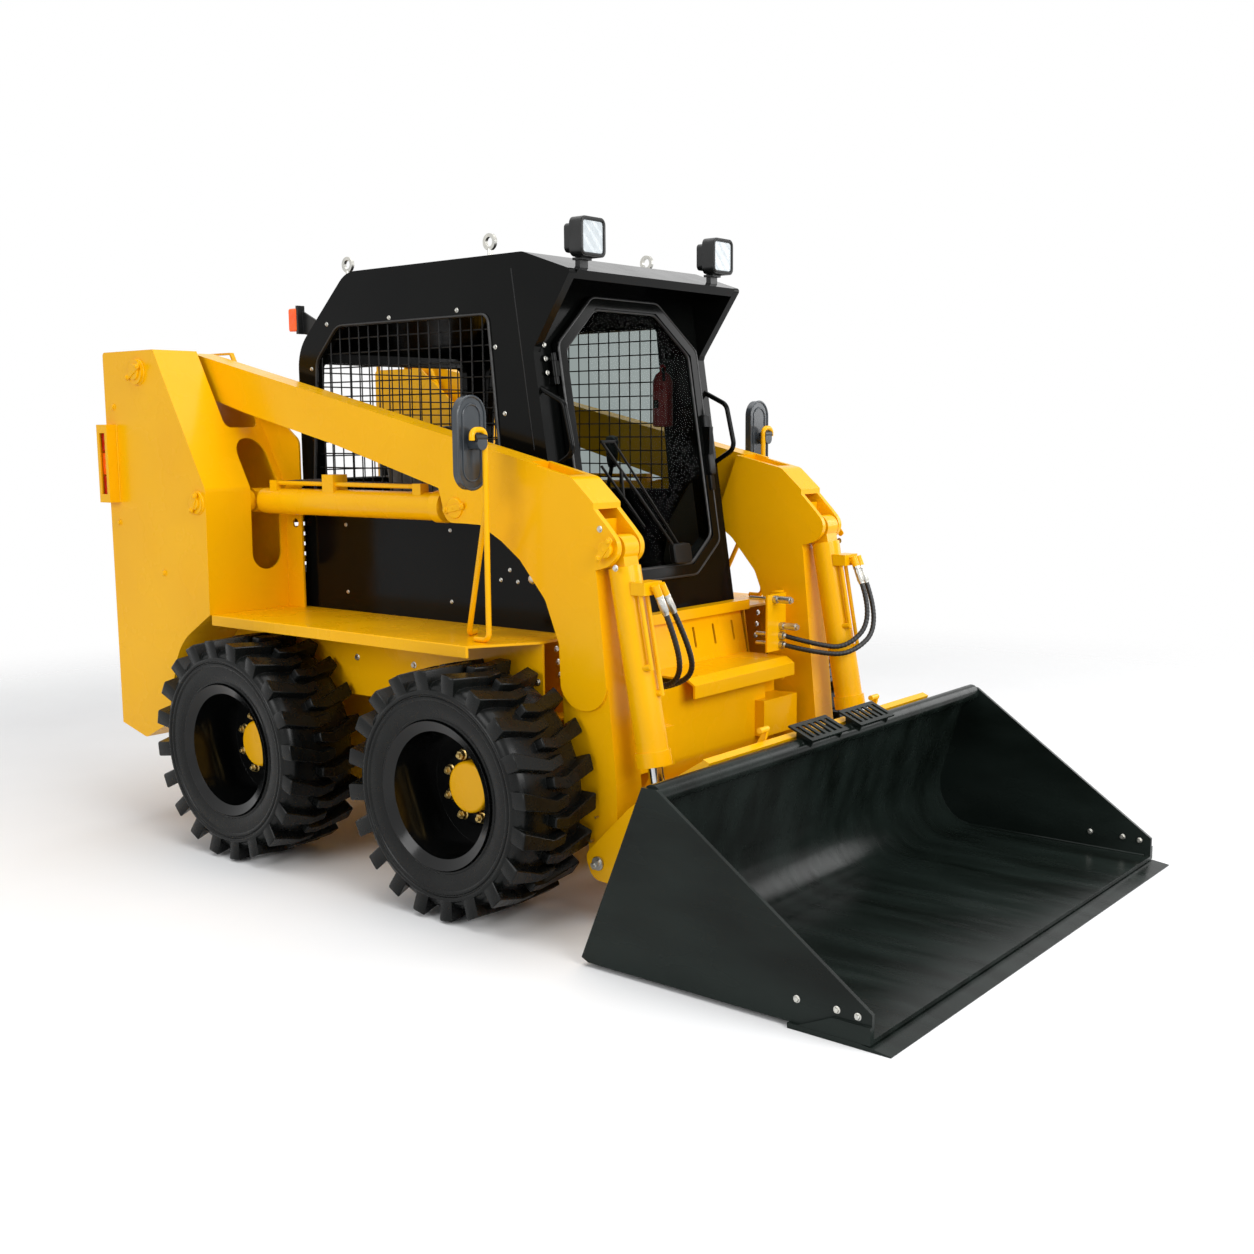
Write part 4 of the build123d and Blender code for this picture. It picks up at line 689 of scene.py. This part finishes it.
side_mesh = wires(places(-385, 600), places(1290, 1904), (MESH_X - WIRE, MESH_X + WIRE),
                  ((-398, 608), (1284, 1910)), 0)
rear_mesh = wires(places(-380, 380), places(1340, 1780), (652.5, 647.5), ((-386, 386), (1334, 1786)), 1)
cage = piece("cab_wire_mesh", joined(mirrored(side_mesh), rear_mesh), MESH, "chassis")
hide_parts("cab_grilles")

# %% Gaskets
SIDE_WINDOW = [(-385, 1290), (-324, 1904), (440, 1902), (560, 1780), (600, 1290)]
REAR_WINDOW = [(-380, 1340), (380, 1340), (380, 1780), (-380, 1780)]
side_path = np.insert(softened(SIDE_WINDOW, 30), 0, 471.0, axis=1)
rear_path = np.insert(softened(REAR_WINDOW, 30), 1, 670.0, axis=1)
lip = circle(1.0, 10) * (5.0, 7.0)
gaskets = joined(mirrored(carried(side_path, lip, True)), carried(rear_path, lip, True))
piece("window_gaskets", gaskets, HOSE, "chassis", "cab_mesh")
# the joint between the side sheet and the corner post stands up as a thin folded edge
joint = bars([(470, -432, 2045)], [(470, -522, 1458)], 2.2, 8)
piece("side_panel_joints", mirrored(joint), BLACK, "chassis")

# %% [markdown]
# ## Door furniture
# The front door leans back with the cab.  Its pieces are drawn flat, in x and height, and then
# sheared along Y with the front plane, so that they follow the lean without being turned.

# %% Door furniture
FRONT_Y, FRONT_Z, FRONT_LEAN = -525.0, 1774.0, 0.15755


def front_y(z):
    """The cab's leaning front plane at a height: FRONT_Y + FRONT_LEAN x (z - FRONT_Z)."""
    return FRONT_Y + FRONT_LEAN * (np.asarray(z, float) - FRONT_Z)


def leaned(shape):
    """A shape whose y is its depth behind the front plane, sheared onto that plane."""
    points, blocks = shape
    return points + np.outer(front_y(points[:, 2]), (0, 1, 0)), blocks


def front_line(points, depth):
    """Points (x, z) of the front plane, as a line at a depth behind it."""
    return np.insert(np.asarray(points, float), 1, depth, axis=1)


DOOR_RING = [(-383, 1112), (-383, 1805), (-180, 1968), (180, 1968), (383, 1805), (383, 1112), (216, 1000),
             (-216, 1000)]
door_seal = carried(front_line(softened(inset(DOOR_RING, 42), 26), -24), circle(6, 10), True)
outer_seal = carried(front_line(softened(inset(DOOR_RING, 3), 20), -32), circle(4.5, 8), True)
latch = plate(softened(rectangle((356, 1356), (392, 1574)), 14), -50, -32, 1, 3)
keeper = plate(softened(rectangle((362, 1300), (386, 1356)), 6), -42, -32, 1, 2)
piece("door_seals", leaned(joined(door_seal, outer_seal)), HOSE, "cab_door", "cab_black")
piece("door_latch", leaned(joined(latch, keeper)), SATIN, "cab_door", "cab_black")

# %% Wiper
# two arms from a motor low on the glass carry one blade
arm_a = bars([(96, -46, 1096)], [(-236, -40, 1484)], 5.5, 10)
arm_b = bars([(146, -46, 1072)], [(-172, -40, 1482)], 4.5, 10)
blade = bars([(-245, -36, 1400)], [(-60, -36, 1190)], 5, 8)
carrier = bars([(-152, -42, 1382), (-240, -42, 1482)], [(-152, -38, 1295), (-168, -42, 1482)], 5, 8)
motor = plate(softened(rectangle((70, 1050), (172, 1120)), 16), -56, -30, 1, 4)
piece("door_wiper", leaned(joined(arm_a, arm_b, blade, carrier, motor)), SATIN, "cab_door", "cab_black")

# %% [markdown]
# ## Fasteners
# Bolts tell how a machine is put together, though each is only a small point of light.  One hexagon bolt
# on a washer is lofted for each row and copied, turned to face its panel.

# %% Bolts
def bolt(size):
    """A bolt head of a size across its flats, on its washer, standing on the z axis."""
    return joined(turned([(0, 0.78 * size), (0.09 * size, 0.78 * size), (0.13 * size, 0.7 * size)], 20),
                  hexagon(size, 0.1 * size, 0.52 * size))


def bolts(name, places, normal, size, body, material=ZINC):
    """Bolts of one size at places (mm) that all face one way."""
    places = np.atleast_2d(np.asarray(places, float))
    shape = copies(bolt(size), facing([normal] * len(places)), places)
    return piece(name, shape, material, body, "zinc_steel")


CAB_HALF = 470
panel_spots = [(-402, 1057), (-360, 1021), (-438, 1019), (-120, 1180), (-120, 930), (430, 1180), (430, 930)]
window_spots = [(498, 1911), (161, 1917), (-178, 1924), (-355, 1795), (-393, 1577), (593, 1752)]
for side, sign in SIDES:
    # a name, its places on the left, the way its bolts face, their size across the flats and their finish
    outward, ahead = (sign, 0, 0), (0, -1, 0)
    for name, spots, normal, size, material in (
            ("side_panel_bolts_", [(CAB_HALF, y, z) for y, z in panel_spots], outward, 9, ZINC),
            ("fender_bolts_", [(640, y, 727) for y in (-678, -390, -103, 190, 560)], outward, 15, ZINC),
            ("fender_end_bolts_", [(576, -700, 828), (568, -700, 785), (560, -700, 742)], ahead, 13, ZINC),
            ("window_bolts_", [(CAB_HALF, y, z) for y, z in window_spots], outward, 10, ZINC),
            ("frame_bolts_", [(400, -900, 490), (440, -900, 620), (440, -900, 330)], ahead, 15, YELLOW),
            ("upright_bolts_", [(866, 1290, 1180), (866, 1290, 1620), (866, 1010, 1000)], outward, 17,
             YELLOW)):
        bolts(name + side, np.array(spots) * (sign, 1, 1), normal, size, "chassis", material)
hinge_spots = np.array([(-424, -8, z) for z in (1797, 1752, 1707, 1290, 1240, 1190)])
bolts("hinge_bolts_door", leaned((hinge_spots, []))[0], (0, -1, 0.15), 11, "chassis")
bolts("roof_bolts", [(x, -420 + k * 190, 2096) for x in (-300, 300) for k in range(4)], (0, 0, 1), 10,
      "chassis", NYLON)
BUCKET_HALF, BUCKET_SHEET = 985, 12
for side, sign in SIDES:
    for name, x, out in (("bolts_", BUCKET_HALF, sign), ("nuts_", BUCKET_HALF - BUCKET_SHEET, -sign)):
        spots = [(sign * x, y, z) for y, z in ((-1873, 80), (-1991, 81), (-2051, 78))]
        bolts("bucket_side_" + name + side, spots, (out, 0, 0), 13, "bucket")
bolts("edge_bolts", [(x, -2010, 14) for x in np.linspace(-880, 880, 9)], (0, 0, 1), 15, "bucket", BUCKET)

# %% [markdown]
# ## Pins and their keepers
# Each pin is held by a small plate bolted across its end, with a grease nipple in the middle.  The
# keepers stand on the bosses that the CAD gives, so they are placed by the pins' own centres.

# %% Pin keepers
def pin_end(at, face, sign, radius, length, lean_by=0.0):
    """A pin's turned end under a keeper plate with two bolts; at is (y, z), face the boss's outer x."""
    y, z = at
    ring = turned([(0, radius), (5, radius), (7, radius - 2.5), (7, 4), (11, 4), (13, 2.5)], 32)
    strip = plate(softened(rectangle((-length / 2, -11), (length / 2, 11)), 8), 6, 11, 2, 1)
    heads = copies(bolt(13), facing([(0, 0, 1)] * 2),
                   [(-length / 2 + 13, 0, 11), (length / 2 - 13, 0, 11)])
    turn = mathutils.Matrix.Rotation(lean_by, 3, "Z")
    points, blocks = joined(ring, strip, heads)
    points = points @ np.array(turn).T
    return copies((points, blocks), facing([(sign, 0, 0)]), [(face, y, z)])


for side, sign in SIDES:
    shapes = joined(pin_end((1118, 1747), sign * 880, sign, 30, 104, 0.5),
                    pin_end((780, 1268), sign * 876, sign, 24, 84, 1.1))
    piece("upright_pin_keepers_" + side, shapes, YELLOW, "chassis")
    shapes = joined(pin_end((-981, 1165), sign * 664, sign, 26, 92, 0.9),
                    pin_end((-331, 1271), sign * 650, sign, 34, 96, 0.2))
    piece("boom_pin_keepers_" + side, shapes, YELLOW, "boom")
    piece("hinge_pin_keepers_" + side, pin_end((-950, 190), sign * 674, sign, 22, 50, 0.6), ZINC, "bucket")
    spots = [(sign * 650, -1010, 1110), (sign * 650, -950, 1225)]
    bolts("boom_pin_bolts_" + side, spots, (sign, 0, 0), 13, "boom")
    grease = joined(*(bars([(sign * 650, y, z)], [(sign * 662, y, z)], r, 12) for y, z, r in
                      ((-909, 250, 5), (-930, 330, 4))))
    piece("grease_nipples_" + side, grease, BRASSY, "boom", "zinc_steel")

# %% [markdown]
# ## Weld beads
# Fillet welds close the joints of the frame, the bucket and the arms.  A bead is a small round that
# follows a seam, with ripples where the welder moved on: its radius rises and falls each 5 mm.

# %% Welds
def bead(corners, radius=4.5):
    """A weld along straight runs: points each 2.5 mm, with a radius that ripples by a seventh each 5 mm."""
    corners = np.asarray(corners, float)
    runs = np.linalg.norm(np.diff(corners, axis=0), axis=1)
    way = np.concatenate([[0], np.cumsum(runs)])
    at = np.arange(0, way[-1], 2.5)
    path = np.column_stack([np.interp(at, way, corners[:, k]) for k in range(3)])
    ripple = radius * (0.93 + 0.14 * np.abs(np.sin(np.pi * at / 5)))
    return carried(path, circle(1.0, 8)[None] * ripple[:, None, None])


def seam_ring(x, y, z, radius, count=40):
    """A closed round seam across the machine: y + radius x cos t and z + radius x sin t."""
    t = np.linspace(0, 2 * np.pi, count)
    return np.column_stack([np.full(count, float(x)), y + radius * np.cos(t), z + radius * np.sin(t)])


piece("boom_welds", mirrored(bead(seam_ring(519, -896, 322, 35))), YELLOW, "boom", smooth=60)
upright_beads = joined(bead(seam_ring(867, 1118, 1747, 46)), bead(seam_ring(867, 780, 1268, 40)),
                       bead([(867, 1275, 1258), (867, 1275, 1554)], 3.5))
piece("upright_welds", mirrored(upright_beads), YELLOW, "chassis", smooth=60)
inner_seam = [(972, -2070, 27), (972, -1400, 27), (972, -1290, 60), (972, -1235, 130), (972, -1215, 190),
              (972, -1345, 505)]
piece("bucket_welds", mirrored(bead(inner_seam, 5)), BUCKET, "bucket", smooth=60)
piece("frame_welds", bead([(430, -712, 858), (-430, -712, 858)], 4), YELLOW, "chassis", smooth=60)

# %% [markdown]
# ## Lamps and mirrors
# The work lamps are nylon boxes with a clear ribbed lens behind a bead.  Lens and bezel are pieces of
# their own, set in the recess that the CAD case has.  A mirror has a plastic back with raised beads,
# a ball clamp on its rod and silvered glass towards the driver.

# %% Work lamps
LAMP_X, LAMP_Z, LAMP_FACE_Y = 359.0, 2132.0, -690.0
LAMP = np.array([LAMP_X, LAMP_Z])
pane = plate(softened(rectangle(LAMP - 51, LAMP + 51), 13), -688, -682, 1, 2)
piece("lamp_lenses", mirrored(pane), CLEAR_LENS, "chassis", "lamp_black")
bezel_path = np.insert(softened(rectangle(LAMP - 55, LAMP + 55), 17), 1, LAMP_FACE_Y + 1, axis=1)
bracket = joined(plate(rectangle((LAMP_X - 26, 2062), (LAMP_X + 26, 2070)), -662, -622, 1, 1),
                 bars([(LAMP_X - 30, -648, 2074)], [(LAMP_X + 30, -648, 2074)], 6, 10))
piece("lamp_bezels", mirrored(joined(carried(bezel_path, circle(5, 8), True), bracket)), NYLON, "chassis")

# %% Mirrors
MIRROR = np.array([792.0, -546.0, 1484.0])


def stadium(half_wide, half_high):
    """A racetrack outline round the mirror's middle, in x and height."""
    t = np.linspace(0, np.pi, 16)
    rise = half_high - half_wide
    top = np.column_stack([half_wide * np.cos(t), rise + half_wide * np.sin(t)])
    return np.concatenate([top, -top]) + MIRROR[[0, 2]]


beads = joined(*(carried(np.insert(stadium(wide, high), 1, MIRROR[1] - 12, axis=1), circle(radius, 10), True)
                 for wide, high, radius in ((57.5, 142.5, 4.5), (38, 118, 4.0))))
piece("mirror_beads", mirrored(beads), MIRROR_BACK, "chassis")
piece("mirror_glass", mirrored(plate(stadium(55, 140), MIRROR[1] + 11, MIRROR[1] + 14, 1, 1)), SILVERED,
      "chassis", "mirror_grey")
ball = turned([(-14, 0.1), (-12, 12), (-4, 19), (6, 21), (14, 16), (20, 9), (24, 0.1)], 24, axis=1,
              centre=(MIRROR[0], MIRROR[1] - 34, MIRROR[2] + 8))
clamp = bars([(MIRROR[0] - 22, -592, 1500)], [(MIRROR[0] + 26, -592, 1500)], 13, 16)
piece("mirror_clamps", mirrored(joined(ball, clamp)), NYLON, "chassis", "mirror_grey")

# %% Tail and marker lamps
tail = {"tail_lens_reds": (RED_LENS, (1280, 1360)), "tail_lens_ambers": (AMBER_LENS, (1364, 1448)),
        "tail_lens_tops": (RED_LENS, (1452, 1532))}
for name, (material, (low, high)) in tail.items():
    block = plate(softened(rectangle((1291, low), (1331, high)), 6), 868, 899, 0, 3)
    made = piece(name, mirrored(block), material, "chassis", "tail_lamp_red")
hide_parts("tail_lamps")
marker = plate(softened(rectangle((672, 1894), (716, 1978)), 8), 444, 474, 0, 4)
foot = plate(rectangle((664, 1884), (676, 1988)), 436, 470, 0, 1)
piece("marker_lenses", mirrored(marker), AMBER_LENS, "chassis", "tail_lamp_red")
arm = plate([(590, 1872), (664, 1884), (672, 1900), (672, 1972), (552, 1914)], 438, 446, 0, 1)
piece("marker_feet", mirrored(joined(foot, arm)), NYLON, "chassis")

# %% [markdown]
# ## Inside the cab
# The driver sits between two consoles with a lever on each.  Both walls carry a trim board, and the far
# one a small extinguisher too.  They are seen through tinted glass and mesh, so clear forms and a few
# bright edges matter more than detail.

# %% Consoles and levers
CONSOLE = [(-260, 960), (300, 960), (300, 1150), (-120, 1190), (-260, 1130)]
BOOT = [(0, 42), (10, 44), (24, 34), (34, 30), (48, 22), (58, 20), (74, 13)]
GRIP = [(0, 14), (14, 19), (40, 22), (70, 24), (96, 27), (112, 22), (120, 8)]
console = plate(softened(CONSOLE, 40), 262, 352, 0, 8)
boot = turned(BOOT, 24, centre=(307, -170, 1172))
stick = bars([(307, -170, 1240)], [(300, -215, 1390)], 8, 12)
grip = turned(GRIP, 20, centre=(300, -215, 1380))
piece("cab_consoles", mirrored(console), NYLON, "chassis")
piece("drive_levers", mirrored(joined(boot, stick, grip)), NYLON, "chassis")
pedal = plate(softened(rectangle((-230, -560), (-60, -420)), 20), 566, 578, 2, 3)
piece("foot_pedals", mirrored(pedal), SATIN, "chassis", "lamp_black")

# %% Trim, extinguisher and overhead console
TRIM_OUTLINE = [(-560, 1300), (-500, 1330), (-395, 1180), (-360, 1010), (-560, 975)]
trim = plate(softened(TRIM_OUTLINE, 24), 424, 435, 0, 2)
piece("cab_trim_board", mirrored(trim), TRIM, "chassis", "floor_rubber")
bottle = turned([(0, 30), (6, 38), (170, 38), (196, 26), (206, 12), (226, 12), (232, 6)], 28,
                centre=(388, -392, 1530))
piece("extinguisher", bottle, SIGNAL_RED, "chassis", "tail_lamp_red")
strap = joined(plate(rectangle((-400, 1600), (-384, 1630)), 340, 436, 0, 1),
               bars([(388, -392, 1758)], [(360, -420, 1700)], 6, 8))
piece("extinguisher_strap", strap, NYLON, "chassis")
dash = joined(plate(softened(rectangle((-330, 1990), (330, 2030)), 12), -470, -430, 1, 4),
              bars([(-200, -300, 2040)], [(200, -300, 2040)], 10, 10))
piece("overhead_console", dash, NYLON, "chassis")

# %% [markdown]
# ## Seat
# The seat is foam under vinyl: crowned, with sewn channels.  It starts as a closed rounded block, smaller
# than its space, is remeshed to even small faces and swells under cloth pressure, which gives a taut
# curve that a subdivided box never has.  The channels are pressed in afterwards, because the remesh
# would lose them.

# %% Seat padding
CROWN = 22
VOXEL = 0.006
CLOTH_STEPS, PRESSURE, TENSION = 20, 4.0, 12.0
CHANNEL_DEPTH, CHANNEL_WIDTH, DEEPEST = 0.007, 0.006, 0.008


def cushion_block(low, high, round_by=34):
    """A closed block with rounded corners: an outline in x and y, drawn in towards its two faces.

    At a share of the height it is drawn in by CROWN x (1 - sin(pi x (0.08 + 0.84 x share))).
    """
    outline = softened(rectangle(low[:2], high[:2]), round_by, 7)
    layers = []
    for share in np.linspace(0, 1, 9):
        pull = CROWN * (1 - math.sin(math.pi * (0.08 + 0.84 * share)))
        layers.append(np.insert(inset(outline, pull), 2, low[2] + share * (high[2] - low[2]), axis=1))
    return lofted(layers)


def swollen(name, shape, cap_mm, channels):
    """Foam under vinyl: remesh at 6 mm, 20 steps of cloth pressure with a capped move, then the channels.

    A channel presses a point in by 7 mm x exp(-(d / 6 mm)^2), where d is its distance from the line.
    """
    made = piece(name, shape, VINYL, None, smooth=60)
    bpy.context.view_layer.objects.active = made
    grain = made.modifiers.new("even", "REMESH")
    grain.mode, grain.voxel_size = "VOXEL", VOXEL
    bpy.ops.object.modifier_apply(modifier="even")
    count = len(made.data.vertices)
    rest = np.empty(3 * count)
    made.data.vertices.foreach_get("co", rest)
    rest = rest.reshape(-1, 3)
    moved = rest.copy()
    cloth = made.modifiers.new("pressure", "CLOTH")
    cloth.settings.use_pressure = True
    cloth.settings.uniform_pressure_force = PRESSURE
    cloth.settings.effector_weights.gravity = 0.0
    cloth.settings.tension_stiffness = TENSION
    for step in range(1, CLOTH_STEPS + 1):
        scene.frame_set(step)
    done = made.evaluated_get(bpy.context.evaluated_depsgraph_get())
    done.data.vertices.foreach_get("co", moved.reshape(-1))
    move = moved - rest
    length = np.linalg.norm(move, axis=1)[:, None]
    moved = rest + move * np.minimum(1.0, cap_mm / 1000 / np.maximum(length, 1e-9))
    made.modifiers.remove(cloth)
    scene.frame_set(1)
    made.data.vertices.foreach_set("co", moved.ravel())
    normals = np.empty(3 * count)
    made.data.vertex_normals.foreach_get("vector", normals)
    pressed = np.zeros(count)
    for axis, at in channels:
        pressed += CHANNEL_DEPTH * np.exp(-((moved[:, axis] - at) / CHANNEL_WIDTH) ** 2)
    moved -= normals.reshape(-1, 3) * np.minimum(pressed, DEEPEST)[:, None]
    made.data.vertices.foreach_set("co", moved.ravel())
    made.data.update()
    made.data.polygons.foreach_set("use_smooth", np.ones(len(made.data.polygons), bool))
    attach(made, "chassis")
    print(name, count, "points, swollen by up to", round(1000 * float(np.abs(moved - rest).max()), 1), "mm")
    return made


seat_x = (-0.12, 0.12)
cushion = swollen("seat_cushion_padded", cushion_block((-218, -108, 972), (218, 388, 1068)), 12,
                  [(0, x) for x in seat_x] + [(1, mm((0, y, 0))[1]) for y in (60, 220)])
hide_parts("seat_cushion")

# %% Seat back
# the back is a flat block stood up: x stays, its y becomes height and its height becomes depth
BACK_LEAN = 0.16
flat_points, flat_blocks = cushion_block((-206, 0, 0), (206, 470, 62))
across, height, depth = flat_points.T
leaning = np.column_stack([across, 412 + depth + BACK_LEAN * height, 1082 + height])
back = swollen("seat_back_padded", (leaning, flat_blocks), 12,
               [(0, x) for x in seat_x] + [(2, z) for z in (1.24, 1.40)])
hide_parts("seat_back")

# %% [markdown]
# ## Engine end and small fittings
# The rear door has a round lock and four bolts, the rear frame three bolts on each side, and each side
# panel a small lock.  They are what a mechanic touches, so they stand proud of the sheet.

# %% Fittings
lock = turned([(0, 17), (3, 17), (5, 14), (9, 14), (11, 11)], 24)
side_lock = copies(lock, facing([(1, 0, 0)]), [(CAB_HALF, -507, 1033)])
piece("side_panel_locks", mirrored(side_lock), ZINC, "chassis")
rear_lock = turned([(0, 24), (4, 24), (7, 19), (14, 19), (16, 15)], 28)
piece("rear_door_lock", copies(rear_lock, facing([(0, 1, 0)]), [(356, 1391, 880)]), NYLON, "rear_door")
bolts("rear_door_bolts", [(x, 1391, z) for x in (-390, 390) for z in (500, 1180)], (0, 1, 0), 13, "rear_door")
bolts("rear_frame_bolts", [(x, 1345, z) for x in (-470, 470) for z in (640, 860, 1080)], (0, 1, 0), 15,
      "chassis")
print("pieces", len(made_pieces))

# %% [markdown]
# ## Floor and light
# A plain studio: a pale floor that fades out into a white room, one broad soft lamp in front, a weaker
# one at each side and one above.  The room is white only where the camera, a mirror or a pane
# looks at it; for plain light it is dim, so that black paint stays black.

# %% Floor
FLOOR_RADIUS = 9.0
FADE_FROM, FADE_TO = 3.0, 6.5
floor_material = finish("studio_floor", ("#F3F3F3", "#F6F6F6"), 0.8, patch=900, edge=0.5,
                        Specular_Ior_Level=0.1)
tree = floor_material.node_tree
shader = tree.nodes["Principled BSDF"]
place = add(tree, "ShaderNodeTexCoord").outputs["Object"]
reach = add(tree, "ShaderNodeVectorMath", {0: place}, operation="LENGTH")
clear = add(tree, "ShaderNodeMapRange", {"Value": reach.outputs["Value"], "From Min": FADE_FROM,
                                         "From Max": FADE_TO}, interpolation_type="SMOOTHSTEP")
blended = add(tree, "ShaderNodeMixShader", {"Fac": clear.outputs["Result"], 1: shader.outputs["BSDF"],
                                            2: add(tree, "ShaderNodeBsdfTransparent").outputs["BSDF"]})
tree.links.new(blended.outputs["Shader"], tree.nodes["Material Output"].inputs["Surface"])
disc = np.column_stack([circle(FLOOR_RADIUS, 96), np.full(96, -0.0005)])
floor_mesh = bpy.data.meshes.new("studio_floor")
floor_mesh.from_pydata(disc.tolist(), [], [list(range(96))])
floor_mesh.materials.append(floor_material)
floor = bpy.data.objects.new("studio_floor", floor_mesh)
scene.collection.objects.link(floor)

# %% Lamps
def area_light(name, place, target, size, power):
    """A soft rectangular lamp that faces a target."""
    data = bpy.data.lights.new(name, "AREA")
    data.shape = "RECTANGLE"
    data.size, data.size_y = size
    data.energy = power
    made = bpy.data.objects.new(name, data)
    scene.collection.objects.link(made)
    made.location = place
    aim = mathutils.Vector(target) - mathutils.Vector(place)
    made.rotation_euler = aim.to_track_quat("-Z", "Y").to_euler()
    return made


area_light("front", (-1.2, -7.5, 4.2), (0, -0.4, 0.8), (6.0, 4.0), 470)
area_light("right_side", (-7.5, 0.8, 3.6), (0, 0.2, 0.9), (4.0, 3.0), 170)
area_light("above", (0.0, 0.2, 6.5), (0, 0.2, 0.6), (7.0, 6.0), 270)
area_light("left_fill", (6.5, -3.0, 3.0), (0, -0.2, 0.8), (4.0, 3.0), 120)

# %% Room
world = bpy.data.worlds.new("studio")
scene.world = world
world.use_nodes = True
sky = world.node_tree
dim = sky.nodes["Background"]
dim.inputs["Color"].default_value = (0.95, 0.97, 1.0, 1)
dim.inputs["Strength"].default_value = 0.38
white = add(sky, "ShaderNodeBackground", {"Color": (1.0, 1.0, 1.0, 1), "Strength": 1.0})
rays = add(sky, "ShaderNodeLightPath")
camera_ray, glossy_ray, through_ray = (
    rays.outputs[kind] for kind in ("Is Camera Ray", "Is Glossy Ray", "Is Transmission Ray"))
either = add(sky, "ShaderNodeMath", {0: camera_ray, 1: glossy_ray}, operation="MAXIMUM")
any_view = add(sky, "ShaderNodeMath", {0: either.outputs["Value"], 1: through_ray}, operation="MAXIMUM")
chosen = add(sky, "ShaderNodeMixShader", {"Fac": any_view.outputs["Value"], 1: dim.outputs["Background"],
                                          2: white.outputs["Background"]})
sky.links.new(chosen.outputs["Shader"], sky.nodes["World Output"].inputs["Surface"])

# %% [markdown]
# ## Finish
# The view layer is brought up to date.

# %% Finish
bpy.context.view_layer.update()
